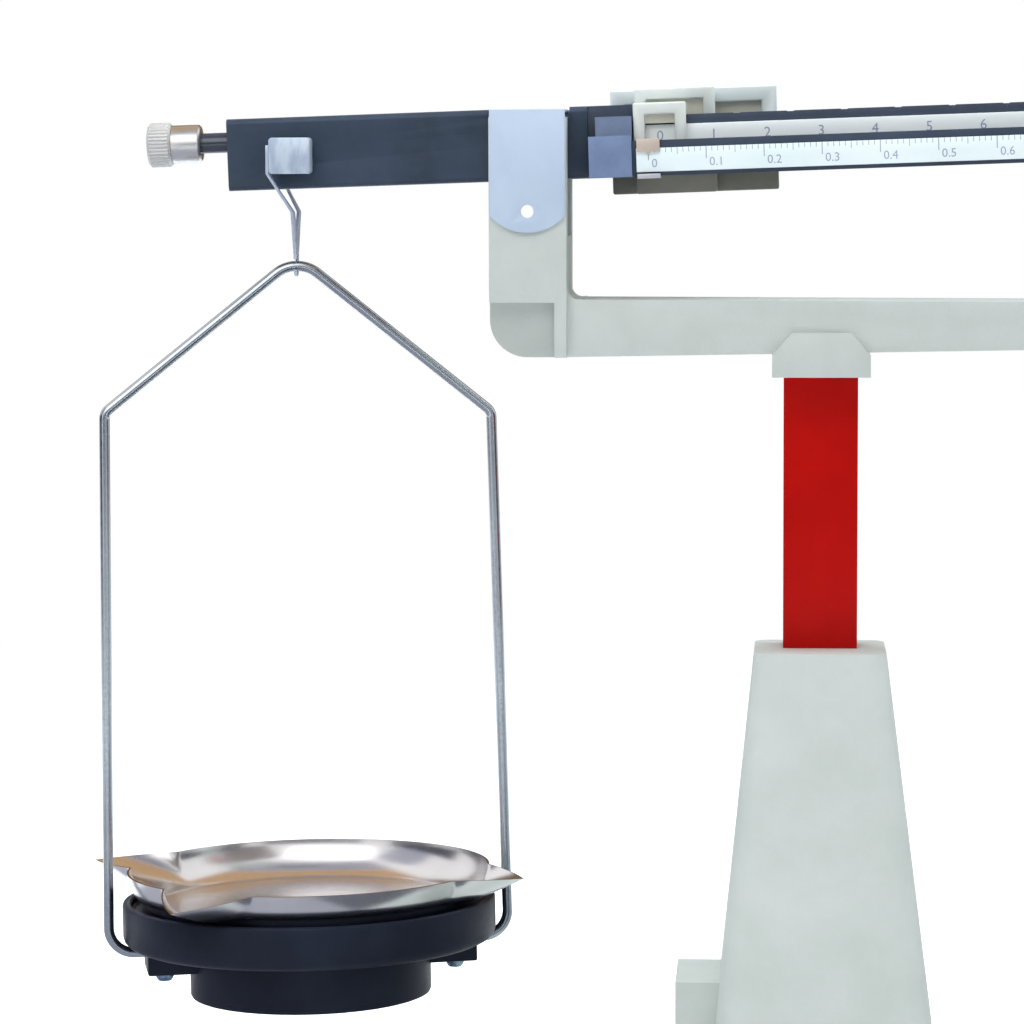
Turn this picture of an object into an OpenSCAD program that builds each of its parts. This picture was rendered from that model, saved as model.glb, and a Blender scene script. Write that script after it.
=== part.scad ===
// Quadruple beam balance: hanging pan at the left, four notched beams with sliding poises at the right.
// X runs along the beams to the right, Y to the back, Z up. The bench is Z = 0, and the origin is the
// middle of the overall length, under the plane of the beam.

/* [Layout] */
// Column axis, to the right of the middle of the overall length
column_x = 21; // [0:0.5:40]
// Fulcrum edge, to the left of the column axis
fulcrum_left = 77.6; // [72:0.1:84]
// Height of the fulcrum edge above the bench
fulcrum_z = 283; // [276:0.5:290]
// Tilt of the resting beam, right end up, which is half of its travel
rest_tilt = 1.8; // [1:0.1:2.4]
// Pan knife edge to fulcrum edge
pan_arm = 63.6; // [61:0.1:66]

/* [Clearances] */
// Gap around a piece that is pressed, glued or screwed in place
seat_gap = 0.05; // [0.02:0.01:0.1]
// Gap around a piece that slides
slide_gap = 0.3; // [0.2:0.05:0.4]
// Gap of a turning fit, on the radius
turn_gap = 0.05; // [0.02:0.01:0.1]
// Gap between a knife edge and the bottom of its groove
knife_gap = 0.05; // [0.02:0.01:0.1]
// Gap left at a stop
stop_gap = 0.3; // [0.2:0.1:0.6]

/* [Base] */
// Length of the plinth
plinth_w = 220; // [180:1:240]
// Depth of the plinth
plinth_d = 140; // [110:1:150]
// Height of the plinth without its feet
plinth_h = 20; // [16:1:24]
// Corner radius of the plinth, seen from above
plinth_r = 18; // [8:1:24]
// Slope at the top edge of the plinth
plinth_slope = 4; // [1:0.5:6]
// Wall of the base casting
base_wall = 3; // [2:0.5:4]
// Height of the feet
foot_h = 5; // [3:0.5:7]
// Diameter of the feet
foot_d = 16; // [10:1:20]
// Axes of the feet, inwards from the edges of the plinth
foot_inset = 14; // [12:1:18]
// Screws of the bottom plate, inwards from the edges of the plinth
plate_screw_inset = 26; // [25:1:34]
// Thickness of the bottom plate
bottom_plate_t = 1.5; // [1:0.25:2.5]

/* [Tower] */
// Height of the tower's top above the bench
tower_top_z = 147.5; // [130:0.5:160]
// Width of the tower at the top
tower_top_w = 35; // [30:0.5:40]
// Depth of the tower at the top
tower_top_d = 32; // [28:0.5:38]
// Width of the tower at the plinth
tower_foot_w = 63.2; // [50:0.1:80]
// Depth of the tower at the plinth
tower_foot_d = 58; // [46:0.5:70]
// Tower axis, in front of the plane of the beam
tower_front = 4; // [0:0.5:6]
// Middle of the tower's foot, to the right of the column axis
tower_foot_right = 1.4; // [0:0.1:3]
// Thickness of the tower's top
tower_lid_t = 4; // [3:0.5:6]
// Shoulder at the left of the tower: height above the bench
shoulder_z = 58; // [50:0.5:70]
// Shoulder: left face to the column axis
shoulder_left = 38.6; // [36:0.5:45]
// Shoulder: depth
shoulder_d = 30; // [20:1:40]

/* [Column] */
// Width of the column
column_w = 19.75; // [16:0.25:22]
// Depth of the column
column_d = 12; // [10:0.5:13]
// Wall of the column
column_wall = 2; // [1.5:0.25:3]
// Length of the column inside the tower
column_grip = 50; // [30:1:60]
// Length of the column inside the yoke
column_into_yoke = 9; // [6:0.5:10]
// Diameter of the column screws
column_screw_d = 4; // [3:0.5:4.5]
// Lower column screw above the column's lower end
column_screw_up = 13; // [10:1:16]
// Upper column screw below the top of the tower
column_screw_down = 16; // [12:1:20]
// Distance between the two screws at the back of the collar
collar_screw_pitch = 10; // [8:0.5:11]

/* [Yoke] */
// Underside of the arm at its left end
arm_low_z = 226; // [222:0.5:230]
// Thickness of the arm at its left end
arm_left_t = 15.3; // [12:0.1:18]
// Thickness of the arm at its right end
arm_right_t = 10.8; // [8:0.1:14]
// Depth of the arm
arm_d = 27; // [22:0.5:30]
// Width of the fork that carries the beam
fork_w = 20.5; // [19:0.5:24]
// Depth of the fork
fork_d = 32; // [30:0.5:34]
// Top of the fork above the fulcrum edge
fork_rise = 6.5; // [5:0.25:7]
// Gap between the cheeks of the fork
fork_slot = 16; // [15:0.5:18]
// Bottom of the gap between the cheeks, below the fulcrum edge
fork_slot_drop = 25; // [22:0.5:30]
// Height of the plain pad at the front and the back of the fork, below the fulcrum edge
pad_drop = 42.4; // [38:0.2:46]
// Depth of the recess below each pad
pad_step = 3; // [2:0.5:4]
// Width of the rib beside the recess
rib_w = 3.2; // [2:0.2:5]
// Radius of the yoke's lower corners
yoke_corner_r = 10; // [5:0.5:12]
// Radius in the inner corner of the fork and the arm
yoke_fillet_r = 3; // [1:0.5:5]
// Width of the collar around the column
collar_w = 26; // [25:0.2:32]
// Depth of the collar
collar_d = 31; // [28:0.5:34]
// Underside of the collar, below the underside of the arm
collar_drop = 5.3; // [4:0.1:8]
// Height of the collar's straight lip
collar_lip = 5.8; // [4:0.1:7]
// Height of the collar's sloping part
collar_slope = 5.9; // [4:0.1:8]
// Sight hole below the fulcrum edge
sight_drop = 18.3; // [17:0.1:20]
// Diameter of the sight hole in the fork
sight_d = 8; // [3.5:0.1:9]

/* [Bearings] */
// Width of the bearing blocks in the fork
bearing_w = 8; // [7:0.5:9]
// Height of a bearing block below the fulcrum edge
bearing_below = 4.5; // [3:0.25:6]
// Height of a bearing block above the fulcrum edge
bearing_above = 2.2; // [1.5:0.1:3]
// Opening angle of the grooves
groove_angle = 110; // [90:5:120]
// Opening angle of the knife edges
knife_angle = 60; // [50:5:70]
// Height of the knives
knife_h = 4.2; // [3.5:0.1:4.6]
// Length of the fulcrum knife
fulcrum_knife_l = 31; // [28:0.5:31.5]
// Length of the pan knife
pan_knife_l = 23; // [20:0.5:24]
// Sheet of the bearing cover
cover_t = 0.8; // [0.5:0.1:1]
// Width of the bearing cover
cover_w = 20; // [18:0.5:24]
// Top of the bearing cover above the fulcrum edge
cover_rise = 8.6; // [8.2:0.1:10]
// Lowest point of the bearing cover below the fulcrum edge
cover_drop = 23.9; // [22:0.1:28]
// Height of the cover's curved lower edge
cover_arc_h = 4.5; // [2:0.1:6]
// Diameter of the sight hole at the front of the cover
cover_hole_d = 3.4; // [2.5:0.1:4.4]
// Diameter of the sight hole at the back of the cover
cover_back_hole_d = 8; // [3.4:0.1:9]

/* [Index post] */
// Left face of the post, to the right of the column axis
post_left = 144; // [143:0.5:146]
// Width of the post
post_w = 12; // [10:0.5:14]
// Depth of the post
post_d = 20; // [16:0.5:24]
// Thickness of the bridge over the post's slot
post_bridge = 4.5; // [3:0.5:6]
// Width of the slot for the damping vane
post_slot = 6; // [5:0.5:8]
// Thickness of the index plate
index_t = 0.6; // [0.4:0.1:1]
// Diameter of the damping magnets
magnet_d = 8; // [6:0.5:9]
// Thickness of the damping magnets
magnet_t = 4; // [3:0.5:5]

/* [Beam bar] */
// Left end of the bar from the fulcrum
bar_left = 81.2; // [78:0.2:85]
// Right end of the bar from the fulcrum
bar_right = 15.6; // [14:0.2:17]
// Thickness of the bar
bar_t = 12; // [10:0.5:13]
// Top of the bar above the line through the knife edges
bar_up = 8.95; // [8:0.05:10]
// Underside of the bar below the line through the knife edges
bar_down = 10.25; // [9.5:0.05:11]
// Radius along the bar's edges
bar_edge_r = 1.6; // [0.5:0.1:2.5]
// Half length of the notch under the bearing cover
notch_half = 10.9; // [10.6:0.1:14]
// Floor of the notch above the fulcrum edge
notch_floor = 6.1; // [5.6:0.1:6.6]
// Right end of the head of the bar from the fulcrum
head_right = 27.5; // [26.5:0.1:28]
// Right end of the head at the rear beam, from the fulcrum
head_rear_right = 20.6; // [19:0.1:21]

/* [Beams] */
// Thickness of each beam
rail_t = 3; // [2:0.25:3.5]
// Height of each beam
rail_h = 9.35; // [8:0.05:10]
// Top of the front beam, measured from the knife line
front_rail_top = -0.75; // [-1.5:0.05:0]
// Top of the three other beams, measured from the knife line
rear_rail_top = 5.85; // [5:0.05:6.5]
// Front face of the front beam
rail_1_y = -17; // [-18:0.1:-16]
// Front face of the second beam
rail_2_y = -7.4; // [-8:0.1:-6.5]
// Front face of the third beam
rail_3_y = 4.6; // [4:0.1:5]
// Front face of the rear beam
rail_4_y = 18.4; // [18:0.1:19]
// Right end of the beams from the fulcrum
rail_right = 213; // [212:0.5:214]
// Thickness of the tie at the right end
tie_t = 4; // [3:0.25:4.5]
// Thickness of the scale plates
plate_t = 0.6; // [0.4:0.1:0.8]
// Height of the scale plates
plate_h = 6.25; // [5:0.05:7]
// Plain edge of the front beam above its scale plate
front_plate_drop = 2.05; // [1.5:0.05:2.6]
// Plain edge of the other beams above their scale plates
rear_plate_drop = 2.5; // [1.8:0.05:2.8]
// Distance between notches of the second and third beams
notch_pitch = 14.2; // [14:0.05:14.6]
// Number of notch steps on the second and third beams
notch_steps = 10; // [10:1:10]
// Depth of the notches
notch_depth = 1; // [0.5:0.1:1.4]

/* [Poises] */
// Length of the 200 g poise
poise_200_l = 45; // [42:0.2:45.4]
// Centre of the 200 g poise at zero, from the fulcrum
poise_200_u = 43.5; // [43.3:0.1:44]
// Depth of the 200 g poise
poise_200_d = 12.3; // [10:0.1:13]
// Length of the 100 g poise
poise_100_l = 21.4; // [19:0.2:22]
// Centre of the 100 g poise at zero, from the fulcrum
poise_100_u = 38.7; // [38.6:0.1:40]
// Depth of the 100 g poise
poise_100_d = 12.8; // [10:0.1:12.8]
// Length of the 10 g poise
poise_10_l = 14; // [12:0.2:14.2]
// Centre of the 10 g poise at zero, from the fulcrum
poise_10_u = 34.9; // [34.7:0.1:36]
// Depth of the 10 g poise
poise_10_d = 9.5; // [8:0.1:10]
// Top of the two large poises, measured from the knife line
poise_top = 13.2; // [12:0.1:15]
// Underside of the two large poises, measured from the knife line
poise_low = -14.9; // [-16:0.1:-14]
// Top of the 10 g poise, measured from the knife line
poise_10_top = 9.2; // [8.6:0.1:11]
// Underside of the 10 g poise, measured from the knife line
poise_10_low = -8.6; // [-10:0.1:-7]
// Top of the weights under the poises, measured from the knife line
weight_top = -4.8; // [-6:0.1:-4.6]
// Frame around the window of a small poise
frame_w = 3; // [2:0.1:3.2]
// Frame around the window of the 200 g poise
frame_200_w = 4; // [2:0.1:4.4]
// Depth of the recess in the front of a poise
frame_step = 1.6; // [0.6:0.1:1.8]
// Diameter of the rollers that drop into the notches
roller_d = 2.4; // [2:0.1:2.6]

/* [Rider] */
// Width of the rider
rider_w = 6.1; // [5:0.1:7]
// Centre of the rider at zero, from the fulcrum
rider_u = 31.9; // [31.7:0.1:34]
// Sheet of the rider
rider_t = 0.35; // [0.3:0.05:0.6]
// Length of the rider's upper lip
rider_lip = 3; // [2:0.1:4]
// Length of the rider's pointed tip below the lip
rider_tip = 0.9; // [0.5:0.1:1.5]
// Length of the rider's lower lip
rider_low_lip = 0.9; // [0.5:0.1:1.5]

/* [Zero adjuster] */
// Diameter of the rod
rod_d = 5.4; // [4.5:0.1:6]
// Axis of the rod above the knife line
rod_up = 2.8; // [1:0.1:3.5]
// Length of the rod inside the bar
rod_grip = 11; // [8:0.5:14]
// Gap between the bar and the sleeve of the adjuster
sleeve_from_bar = 7.6; // [5:0.1:9]
// Length of the sleeve
sleeve_l = 7.9; // [6:0.1:10]
// Diameter of the sleeve
sleeve_d = 10.2; // [9.4:0.1:11]
// Length of the knurled head
knob_l = 6.4; // [5:0.1:8]
// Diameter of the knurled head
knob_d = 11.9; // [11:0.1:14]
// Length of the head's spigot in the sleeve
spigot_l = 2; // [1:0.1:3]
// Travel of the adjuster each way
zero_travel = 2.8; // [1:0.1:3.4]

/* [Stirrup] */
// Width of the bearing caps
cap_w = 11.1; // [10:0.1:12]
// Depth of the bearing caps
cap_d = 6; // [5:0.25:7]
// Inner face of the bearing caps from the plane of the beam
cap_inner_y = 7.4; // [7:0.1:8]
// Top of the bearing caps above the pan knife edge
cap_up = 3.4; // [2.5:0.1:4]
// Underside of the bearing caps below the pan knife edge
cap_down = 6.2; // [5:0.1:7]
// Wall of the bearing caps
cap_wall = 1.2; // [0.8:0.1:1.4]
// Sheet of the strap
strap_t = 0.8; // [0.6:0.1:1]
// Pan knife edge to the wire's axis where the bow hangs
hook_drop = 31; // [28:0.2:34]
// Width of the strap at its lower end
strap_low_w = 5.6; // [5.4:0.1:7]
// Width of each leg of the strap
strap_leg_w = 4.6; // [3.5:0.1:5]
// Diameter of the hook that holds the bow
hook_hole_d = 3.8; // [3.4:0.1:4]
// Mouth of the hook, open to the front: its lower edge below the axis of the wire
hook_mouth_drop = 0.9; // [0.4:0.1:1.1]

/* [Bow] */
// Diameter of the wire
wire_d = 2.8; // [2.4:0.1:3]
// Plane of the bow turned from the plane of the beam
bow_turn = 13; // [0:1:15]
// Lean of the hanging bow and pan about the hanging point, left side down
hang_lean = 0.65; // [0:0.05:1.2]
// Half width between the legs at the shoulders
bow_half = 52.6; // [50:0.1:56]
// Gap between the legs and the dish
leg_gap = 2.5; // [1.6:0.1:3]
// Left shoulder below the hanging point
shoulder_drop = 40.9; // [30:0.1:50]
// Right shoulder lower than the left one
shoulder_uneven = 2.4; // [0:0.1:4]
// Bottom run of the wire below the hanging point
bow_drop = 185.8; // [160:0.2:190]
// Radius of the bend at the top
top_bend_r = 9; // [4:0.5:10]
// Radius of the bends at the shoulders
shoulder_bend_r = 3.5; // [3:0.5:8]
// Radius of the bends at the bottom
low_bend_r = 7; // [5:0.5:9]
// Depth of the wire in the lugs
wire_grip = 8; // [5:0.5:9]

/* [Pan support] */
// Support tipped about the ends of the wire, near side up
support_tip = 1.5; // [0:0.1:2.5]
// Radius of the dish
dish_r = 51; // [48:0.2:56]
// Top of the dish above the wire's bottom run
dish_up = 13.4; // [10:0.1:15]
// Depth of the dish
dish_depth = 2.4; // [1:0.1:4]
// Wall at the rim of the dish
dish_rim_w = 2.5; // [1.5:0.1:4]
// Radius of the drum under the dish
drum_r = 33; // [28:0.2:35]
// Underside of the drum below the wire's bottom run
drum_down = 13.2; // [11:0.1:15]
// Wall of the drum
drum_wall = 3; // [2:0.25:4]
// Outer end of the lugs
lug_r = 45; // [42:0.2:46]
// Width of the lugs
lug_w = 18; // [9:0.5:20]
// Underside of the lugs below the wire
lug_down = 5.2; // [4.5:0.1:8]
// Screws in the lugs, from the axis of the pan
lug_screw_r = 40; // [37.5:0.1:41]
// Diameter of the lug screws
lug_screw_d = 3; // [2.5:0.1:3.5]
// Height of the ballast in the drum
ballast_h = 1.5; // [1:0.1:13]
// Thickness of the drum's bottom cover
drum_cover_t = 2; // [1:0.25:2.5]

/* [Pan] */
// Radius of the pan's rim
pan_r = 49.6; // [47:0.1:51]
// Radius of the pan's floor
pan_floor_r = 43; // [30:0.5:45]
// Height of the pan
pan_h = 10.4; // [8:0.1:14]
// Sheet of the pan
pan_t = 0.6; // [0.4:0.05:1]
// How far the left pouring lip reaches beyond the rim
left_lip_reach = 16; // [4:0.1:18]
// How far the pouring lip at the front reaches beyond the rim
front_lip_reach = 14.4; // [4:0.1:16]
// How far the right pouring lip reaches beyond the rim
right_lip_reach = 12.6; // [4:0.1:14]
// Half angle of a pouring lip
lip_half_angle = 17; // [10:1:20]

/* [Hidden] */
$fn = 64;
hull_fn = 32;
eps = 0.01;
casting_grey = [0.80, 0.82, 0.80];
slate = [0.22, 0.26, 0.33];
steel = [0.72, 0.73, 0.75];
zinc = [0.80, 0.82, 0.84];
nickel = [0.84, 0.82, 0.76];
poise_beige = [0.88, 0.89, 0.84];
weight_grey = [0.45, 0.45, 0.43];
plate_white = [0.92, 0.96, 0.97];
black_plastic = [0.07, 0.07, 0.09];

plinth_z = foot_h;
plinth_top_z = foot_h + plinth_h;
fulcrum_x = column_x - fulcrum_left;
pan_x = fulcrum_x - pan_arm * cos(rest_tilt);
pan_knife_z = fulcrum_z - pan_arm * sin(rest_tilt);
hook_z = pan_knife_z - hook_drop;
wire_low_z = hook_z - bow_drop;
dish_top_z = wire_low_z + dish_up;
dish_floor_z = dish_top_z - dish_depth;
drum_low_z = wire_low_z - drum_down;
pan_floor_z = dish_floor_z + seat_gap;
column_z = tower_top_z - column_grip;
collar_z = arm_low_z - collar_drop;
column_top_z = collar_z + column_into_yoke;
post_x = column_x + post_left;
post_right_x = post_x + post_w;
vane_half = 3;
vane_right = (post_right_x - fulcrum_x) / cos(rest_tilt) - 4;
slot_half = vane_right * sin(rest_tilt) + vane_half + stop_gap;
post_top_z = fulcrum_z + slot_half + post_bridge;
arm_rise_share = 0.7;
arm_right_low_z = arm_low_z + (arm_left_t - arm_right_t) * arm_rise_share;
arm_right_top_z = arm_right_low_z + arm_right_t;
tie_right = rail_right + tie_t;
front_rail_low = front_rail_top - rail_h;
rear_rail_low = rear_rail_top - rail_h;
notch_offset = 6.2;

// Rounded rectangle centred on the origin, made of true arcs
module rounded_square(w, d, r) {
    square([w - 2 * r, d], center = true);
    square([w, d - 2 * r], center = true);
    for (sx = [-1, 1], sy = [-1, 1])
        translate([sx * (w / 2 - r), sy * (d / 2 - r)])
            circle(r);
}

// Box between two opposite corners
module span_box(low, high) {
    translate(low)
        cube(high - low);
}

// Outline in X and Z, drawn out along Y between two values
module along_y(y_low, y_high) {
    translate([0, y_high, 0])
        rotate([90, 0, 0])
            linear_extrude(y_high - y_low)
                children();
}

// Outline in Y and Z, drawn out along X between two values
module along_x(x_low, x_high) {
    translate([x_low, 0, 0])
        rotate([90, 0, 90])
            linear_extrude(x_high - x_low)
                children();
}

// Puts what is drawn in beam coordinates on the tilted beam, with the fulcrum edge at the origin
module on_beam() {
    translate([fulcrum_x, 0, fulcrum_z])
        rotate([0, -rest_tilt, 0])
            children();
}

// Pan-head screw that points down from its seat, with a cross recess in the head
module pan_head_screw(d, length) {
    head_h = 0.6 * d;
    difference() {
        union() {
            cylinder(h = head_h, r1 = d * 0.95, r2 = d * 0.6);
            translate([0, 0, -length])
                cylinder(h = length + eps, d = d);
        }
        for (turn = [0, 90])
            rotate(turn)
                translate([-d * 0.55, -d * 0.12, head_h * 0.45])
                    cube([d * 1.1, d * 0.24, head_h]);
    }
}

/* Base */

// Upright box with rounded corners that narrows towards the top
module tapered_block(w0, d0, r0, y0, z0, w1, d1, r1, y1, z1) {
    hull() {
        translate([column_x + tower_foot_right, y0, z0])
            linear_extrude(eps)
                rounded_square(w0, d0, r0, $fn = hull_fn);
        translate([column_x, y1, z1 - eps])
            linear_extrude(eps)
                rounded_square(w1, d1, r1, $fn = hull_fn);
    }
}

tower_foot_r = 8;
tower_top_r = 4;
tower_foot_front = tower_front / 2;
boss_d = 8;
plate_screw_d = 3;
plate_screw_l = 9;
screw_seat_y = tower_top_d / 2 - tower_front + 0.5;
column_screw_z = [column_z + column_screw_up, tower_top_z - column_screw_down];

// Places on the plinth near its four corners
module at_corners(inset) {
    for (sx = [-1, 1], sy = [-1, 1])
        translate([sx * (plinth_w / 2 - inset), sy * (plinth_d / 2 - inset), 0])
            children();
}

module column_section(grow) {
    square([column_w + 2 * grow, column_d + 2 * grow], center = true);
}

module base_housing() {
    cavity_top = plinth_top_z - base_wall;
    sleeve_wall = 3;
    color(casting_grey)
    difference() {
        union() {
            difference() {
                union() {
                    translate([0, 0, plinth_z])
                        linear_extrude(plinth_h - plinth_slope)
                            rounded_square(plinth_w, plinth_d, plinth_r);
                    hull() {
                        translate([0, 0, plinth_top_z - plinth_slope - eps])
                            linear_extrude(eps)
                                rounded_square(plinth_w, plinth_d, plinth_r, $fn = hull_fn);
                        translate([0, 0, plinth_top_z - eps])
                            linear_extrude(eps)
                                rounded_square(plinth_w - 2 * plinth_slope,
                                    plinth_d - 2 * plinth_slope, plinth_r - plinth_slope / 2,
                                    $fn = hull_fn);
                    }
                    tapered_block(tower_foot_w, tower_foot_d, tower_foot_r, -tower_foot_front,
                        plinth_top_z - 1, tower_top_w, tower_top_d, tower_top_r, -tower_front,
                        tower_top_z);
                    span_box([column_x - shoulder_left, -shoulder_d / 2, plinth_top_z - 1],
                        [column_x, shoulder_d / 2, shoulder_z]);
                }
                translate([0, 0, plinth_z - 1])
                    linear_extrude(cavity_top - plinth_z + 1)
                        rounded_square(plinth_w - 2 * base_wall, plinth_d - 2 * base_wall,
                            plinth_r - base_wall);
                tapered_block(tower_foot_w - 2 * base_wall, tower_foot_d - 2 * base_wall,
                    tower_foot_r - base_wall, -tower_foot_front, cavity_top - 1,
                    tower_top_w - 2 * base_wall, tower_top_d - 2 * base_wall,
                    tower_top_r / 2, -tower_front, tower_top_z - tower_lid_t);
            }
            translate([column_x, 0, column_z - sleeve_wall])
                linear_extrude(tower_top_z - column_z + sleeve_wall - 1)
                    column_section(sleeve_wall);
            for (z = column_screw_z)
                translate([column_x, column_d / 2, z])
                    rotate([-90, 0, 0])
                        cylinder(h = screw_seat_y - column_d / 2, d = boss_d);
            at_corners(plate_screw_inset)
                translate([0, 0, plinth_z + bottom_plate_t])
                    cylinder(h = cavity_top - plinth_z - bottom_plate_t + 1, d = boss_d);
        }
        translate([column_x, 0, column_z])
            linear_extrude(tower_top_z)
                column_section(seat_gap);
        for (z = column_screw_z) {
            translate([column_x, 0, z])
                rotate([-90, 0, 0])
                    cylinder(h = tower_foot_d, d = column_screw_d + 2 * seat_gap);
            translate([column_x, screw_seat_y, z])
                rotate([-90, 0, 0])
                    cylinder(h = tower_foot_d, d = boss_d + 0.6);
        }
        at_corners(plate_screw_inset)
            translate([0, 0, plinth_z])
                cylinder(h = plate_screw_l + 1, d = plate_screw_d + 2 * seat_gap);
    }
}

module bottom_plate() {
    color(zinc)
    difference() {
        translate([0, 0, plinth_z])
            linear_extrude(bottom_plate_t)
                rounded_square(plinth_w - 2 * base_wall - 2 * slide_gap,
                    plinth_d - 2 * base_wall - 2 * slide_gap, plinth_r - base_wall);
        at_corners(plate_screw_inset)
            translate([0, 0, plinth_z - 1])
                cylinder(h = bottom_plate_t + 2, d = plate_screw_d + 2 * seat_gap);
    }
}

module rubber_feet() {
    foot_bevel = 1.5;
    color([0.1, 0.1, 0.1])
    at_corners(foot_inset) {
        cylinder(h = foot_bevel, r1 = foot_d / 2 - foot_bevel, r2 = foot_d / 2);
        translate([0, 0, foot_bevel])
            cylinder(h = foot_h - foot_bevel, d = foot_d);
    }
}

module base_screws() {
    color(zinc)
    at_corners(plate_screw_inset)
        translate([0, 0, plinth_z])
            mirror([0, 0, 1])
                pan_head_screw(plate_screw_d, plate_screw_l);
}

// Two screws side by side at the back of the collar, pointing to the back from a plane
module at_collar_screws(y) {
    for (side = [-1, 1])
        translate([column_x + side * collar_screw_pitch / 2, y, collar_z + collar_lip / 2])
            rotate([-90, 0, 0])
                children();
}

module column() {
    color([0.70, 0.05, 0.04])
    difference() {
        translate([column_x, 0, column_z])
            linear_extrude(column_top_z - column_z)
                difference() {
                    column_section(0);
                    column_section(-column_wall);
                }
        for (z = column_screw_z)
            translate([column_x, 0, z])
                rotate([-90, 0, 0])
                    cylinder(h = column_d, d = column_screw_d + 2 * seat_gap);
        at_collar_screws(0)
            cylinder(h = column_d, d = column_screw_d + 2 * seat_gap);
    }
}

module column_screws() {
    color(zinc)
    for (z = column_screw_z)
        translate([column_x, screw_seat_y, z])
            rotate([-90, 0, 0])
                pan_head_screw(column_screw_d, screw_seat_y - column_d / 2 + column_wall + 1);
}

/* Yoke */

fork_left = fulcrum_x - fork_w / 2;
fork_right = fulcrum_x + fork_w / 2;
fork_top_z = fulcrum_z + fork_rise;
pad_z = fulcrum_z - pad_drop;

// Rectangle with one rounded corner at the lower left or the lower right
module corner_plate(x0, x1, z0, z1, r, right) {
    difference() {
        translate([x0, z0])
            square([x1 - x0, z1 - z0]);
        translate([right ? x1 - r : x0, z0])
            square(r);
    }
    intersection() {
        translate([right ? x1 - r : x0 + r, z0 + r])
            circle(r);
        translate([x0, z0])
            square([x1 - x0, z1 - z0]);
    }
}

module yoke_blank() {
    arm_left_top_z = arm_low_z + arm_left_t;
    along_y(-arm_d / 2, arm_d / 2)
        polygon([
            [fork_right - 4, arm_low_z], [post_x, arm_right_low_z],
            [post_x, arm_right_top_z], [fork_right - 4, arm_left_top_z]
        ]);
    along_y(-fork_d / 2, fork_d / 2)
        corner_plate(fork_left, fork_right, arm_low_z, fork_top_z, yoke_corner_r, false);
    along_y(-arm_d / 2, arm_d / 2)
        difference() {
            translate([fork_right - eps, arm_left_top_z - 1])
                square(yoke_fillet_r + 1);
            translate([fork_right + yoke_fillet_r, arm_left_top_z + yoke_fillet_r])
                circle(yoke_fillet_r);
        }
    along_y(-post_d / 2, post_d / 2)
        corner_plate(post_x, post_right_x, arm_right_low_z, post_top_z, yoke_corner_r * 0.8, true);
    along_y(-collar_d / 2, collar_d / 2)
        polygon([
            [column_x - collar_w / 2, collar_z], [column_x + collar_w / 2, collar_z],
            [column_x + collar_w / 2, collar_z + collar_lip],
            [column_x + collar_w * 0.3, collar_z + collar_lip + collar_slope],
            [column_x - collar_w * 0.3, collar_z + collar_lip + collar_slope],
            [column_x - collar_w / 2, collar_z + collar_lip]
        ]);
}

module yoke() {
    color(casting_grey)
    difference() {
        yoke_blank();
        for (side = [-1, 1])
            translate([fork_left - 1, side * (fork_d / 2 - pad_step / 2 + eps), arm_low_z - 1])
                translate([0, -pad_step / 2, 0])
                    cube([fork_w - rib_w + 1, pad_step, pad_z - arm_low_z + 1]);
        along_y(-fork_slot / 2, fork_slot / 2)
            translate([fork_left - 1, fulcrum_z - fork_slot_drop])
                square([fork_w + 2, fork_slot_drop + fork_rise + 1]);
        along_y(-fork_d, fork_d)
            translate([fulcrum_x - bearing_w / 2 - seat_gap, fulcrum_z - bearing_below])
                square([bearing_w + 2 * seat_gap, bearing_below + fork_rise + 1]);
        translate([fulcrum_x, -fork_d, fulcrum_z - sight_drop])
            rotate([-90, 0, 0])
                cylinder(h = 2 * fork_d, d = sight_d);
        along_y(-post_slot / 2, post_slot / 2)
            translate([post_x - 1, fulcrum_z - slot_half])
                square([post_w + 2, 2 * slot_half]);
        at_magnets(seat_gap);
        translate([column_x, 0, collar_z - 1])
            linear_extrude(column_into_yoke + 1)
                column_section(seat_gap);
        at_collar_screws(0)
            cylinder(h = collar_d, d = column_screw_d + 2 * seat_gap);
    }
}

// Headless screws with a hexagon socket, just below the surface of the casting
module yoke_screws() {
    inner_y = column_d / 2 - column_wall;
    screw_l = collar_d / 2 - inner_y - 0.5;
    socket_h = 1.5;
    color(zinc)
    at_collar_screws(inner_y)
        difference() {
            cylinder(h = screw_l, d = column_screw_d);
            translate([0, 0, screw_l - socket_h])
                cylinder(h = socket_h + 1, d = column_screw_d / 2, $fn = 6);
        }
}

// Bearing block: front and rear are mirror images about the plane of the beam
module fulcrum_bearing(side) {
    inner_y = fork_slot / 2;
    outer_y = fork_d / 2;
    groove_h = bearing_above + knife_gap;
    groove_half = groove_h * tan(groove_angle / 2);
    mirror([0, side < 0 ? 1 : 0, 0])
        along_y(inner_y, outer_y)
            translate([fulcrum_x, fulcrum_z])
                difference() {
                    translate([-bearing_w / 2, -bearing_below])
                        square([bearing_w, bearing_below + bearing_above]);
                    polygon([
                        [0, -knife_gap], [groove_half, bearing_above + eps],
                        [-groove_half, bearing_above + eps]
                    ]);
                }
}

module front_bearing() {
    color([0.52, 0.53, 0.56])
        fulcrum_bearing(-1);
}

module rear_bearing() {
    color([0.52, 0.53, 0.56])
        fulcrum_bearing(1);
}

module cover_outline() {
    arc_r = (cover_w * cover_w / 4 + cover_arc_h * cover_arc_h) / (2 * cover_arc_h);
    translate([-cover_w / 2, -cover_drop + cover_arc_h])
        square([cover_w, cover_rise + cover_drop - cover_arc_h]);
    intersection() {
        translate([0, -cover_drop + arc_r])
            circle(arc_r, $fn = 128);
        translate([-cover_w / 2, -cover_drop])
            square([cover_w, cover_arc_h + eps]);
    }
}

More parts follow.
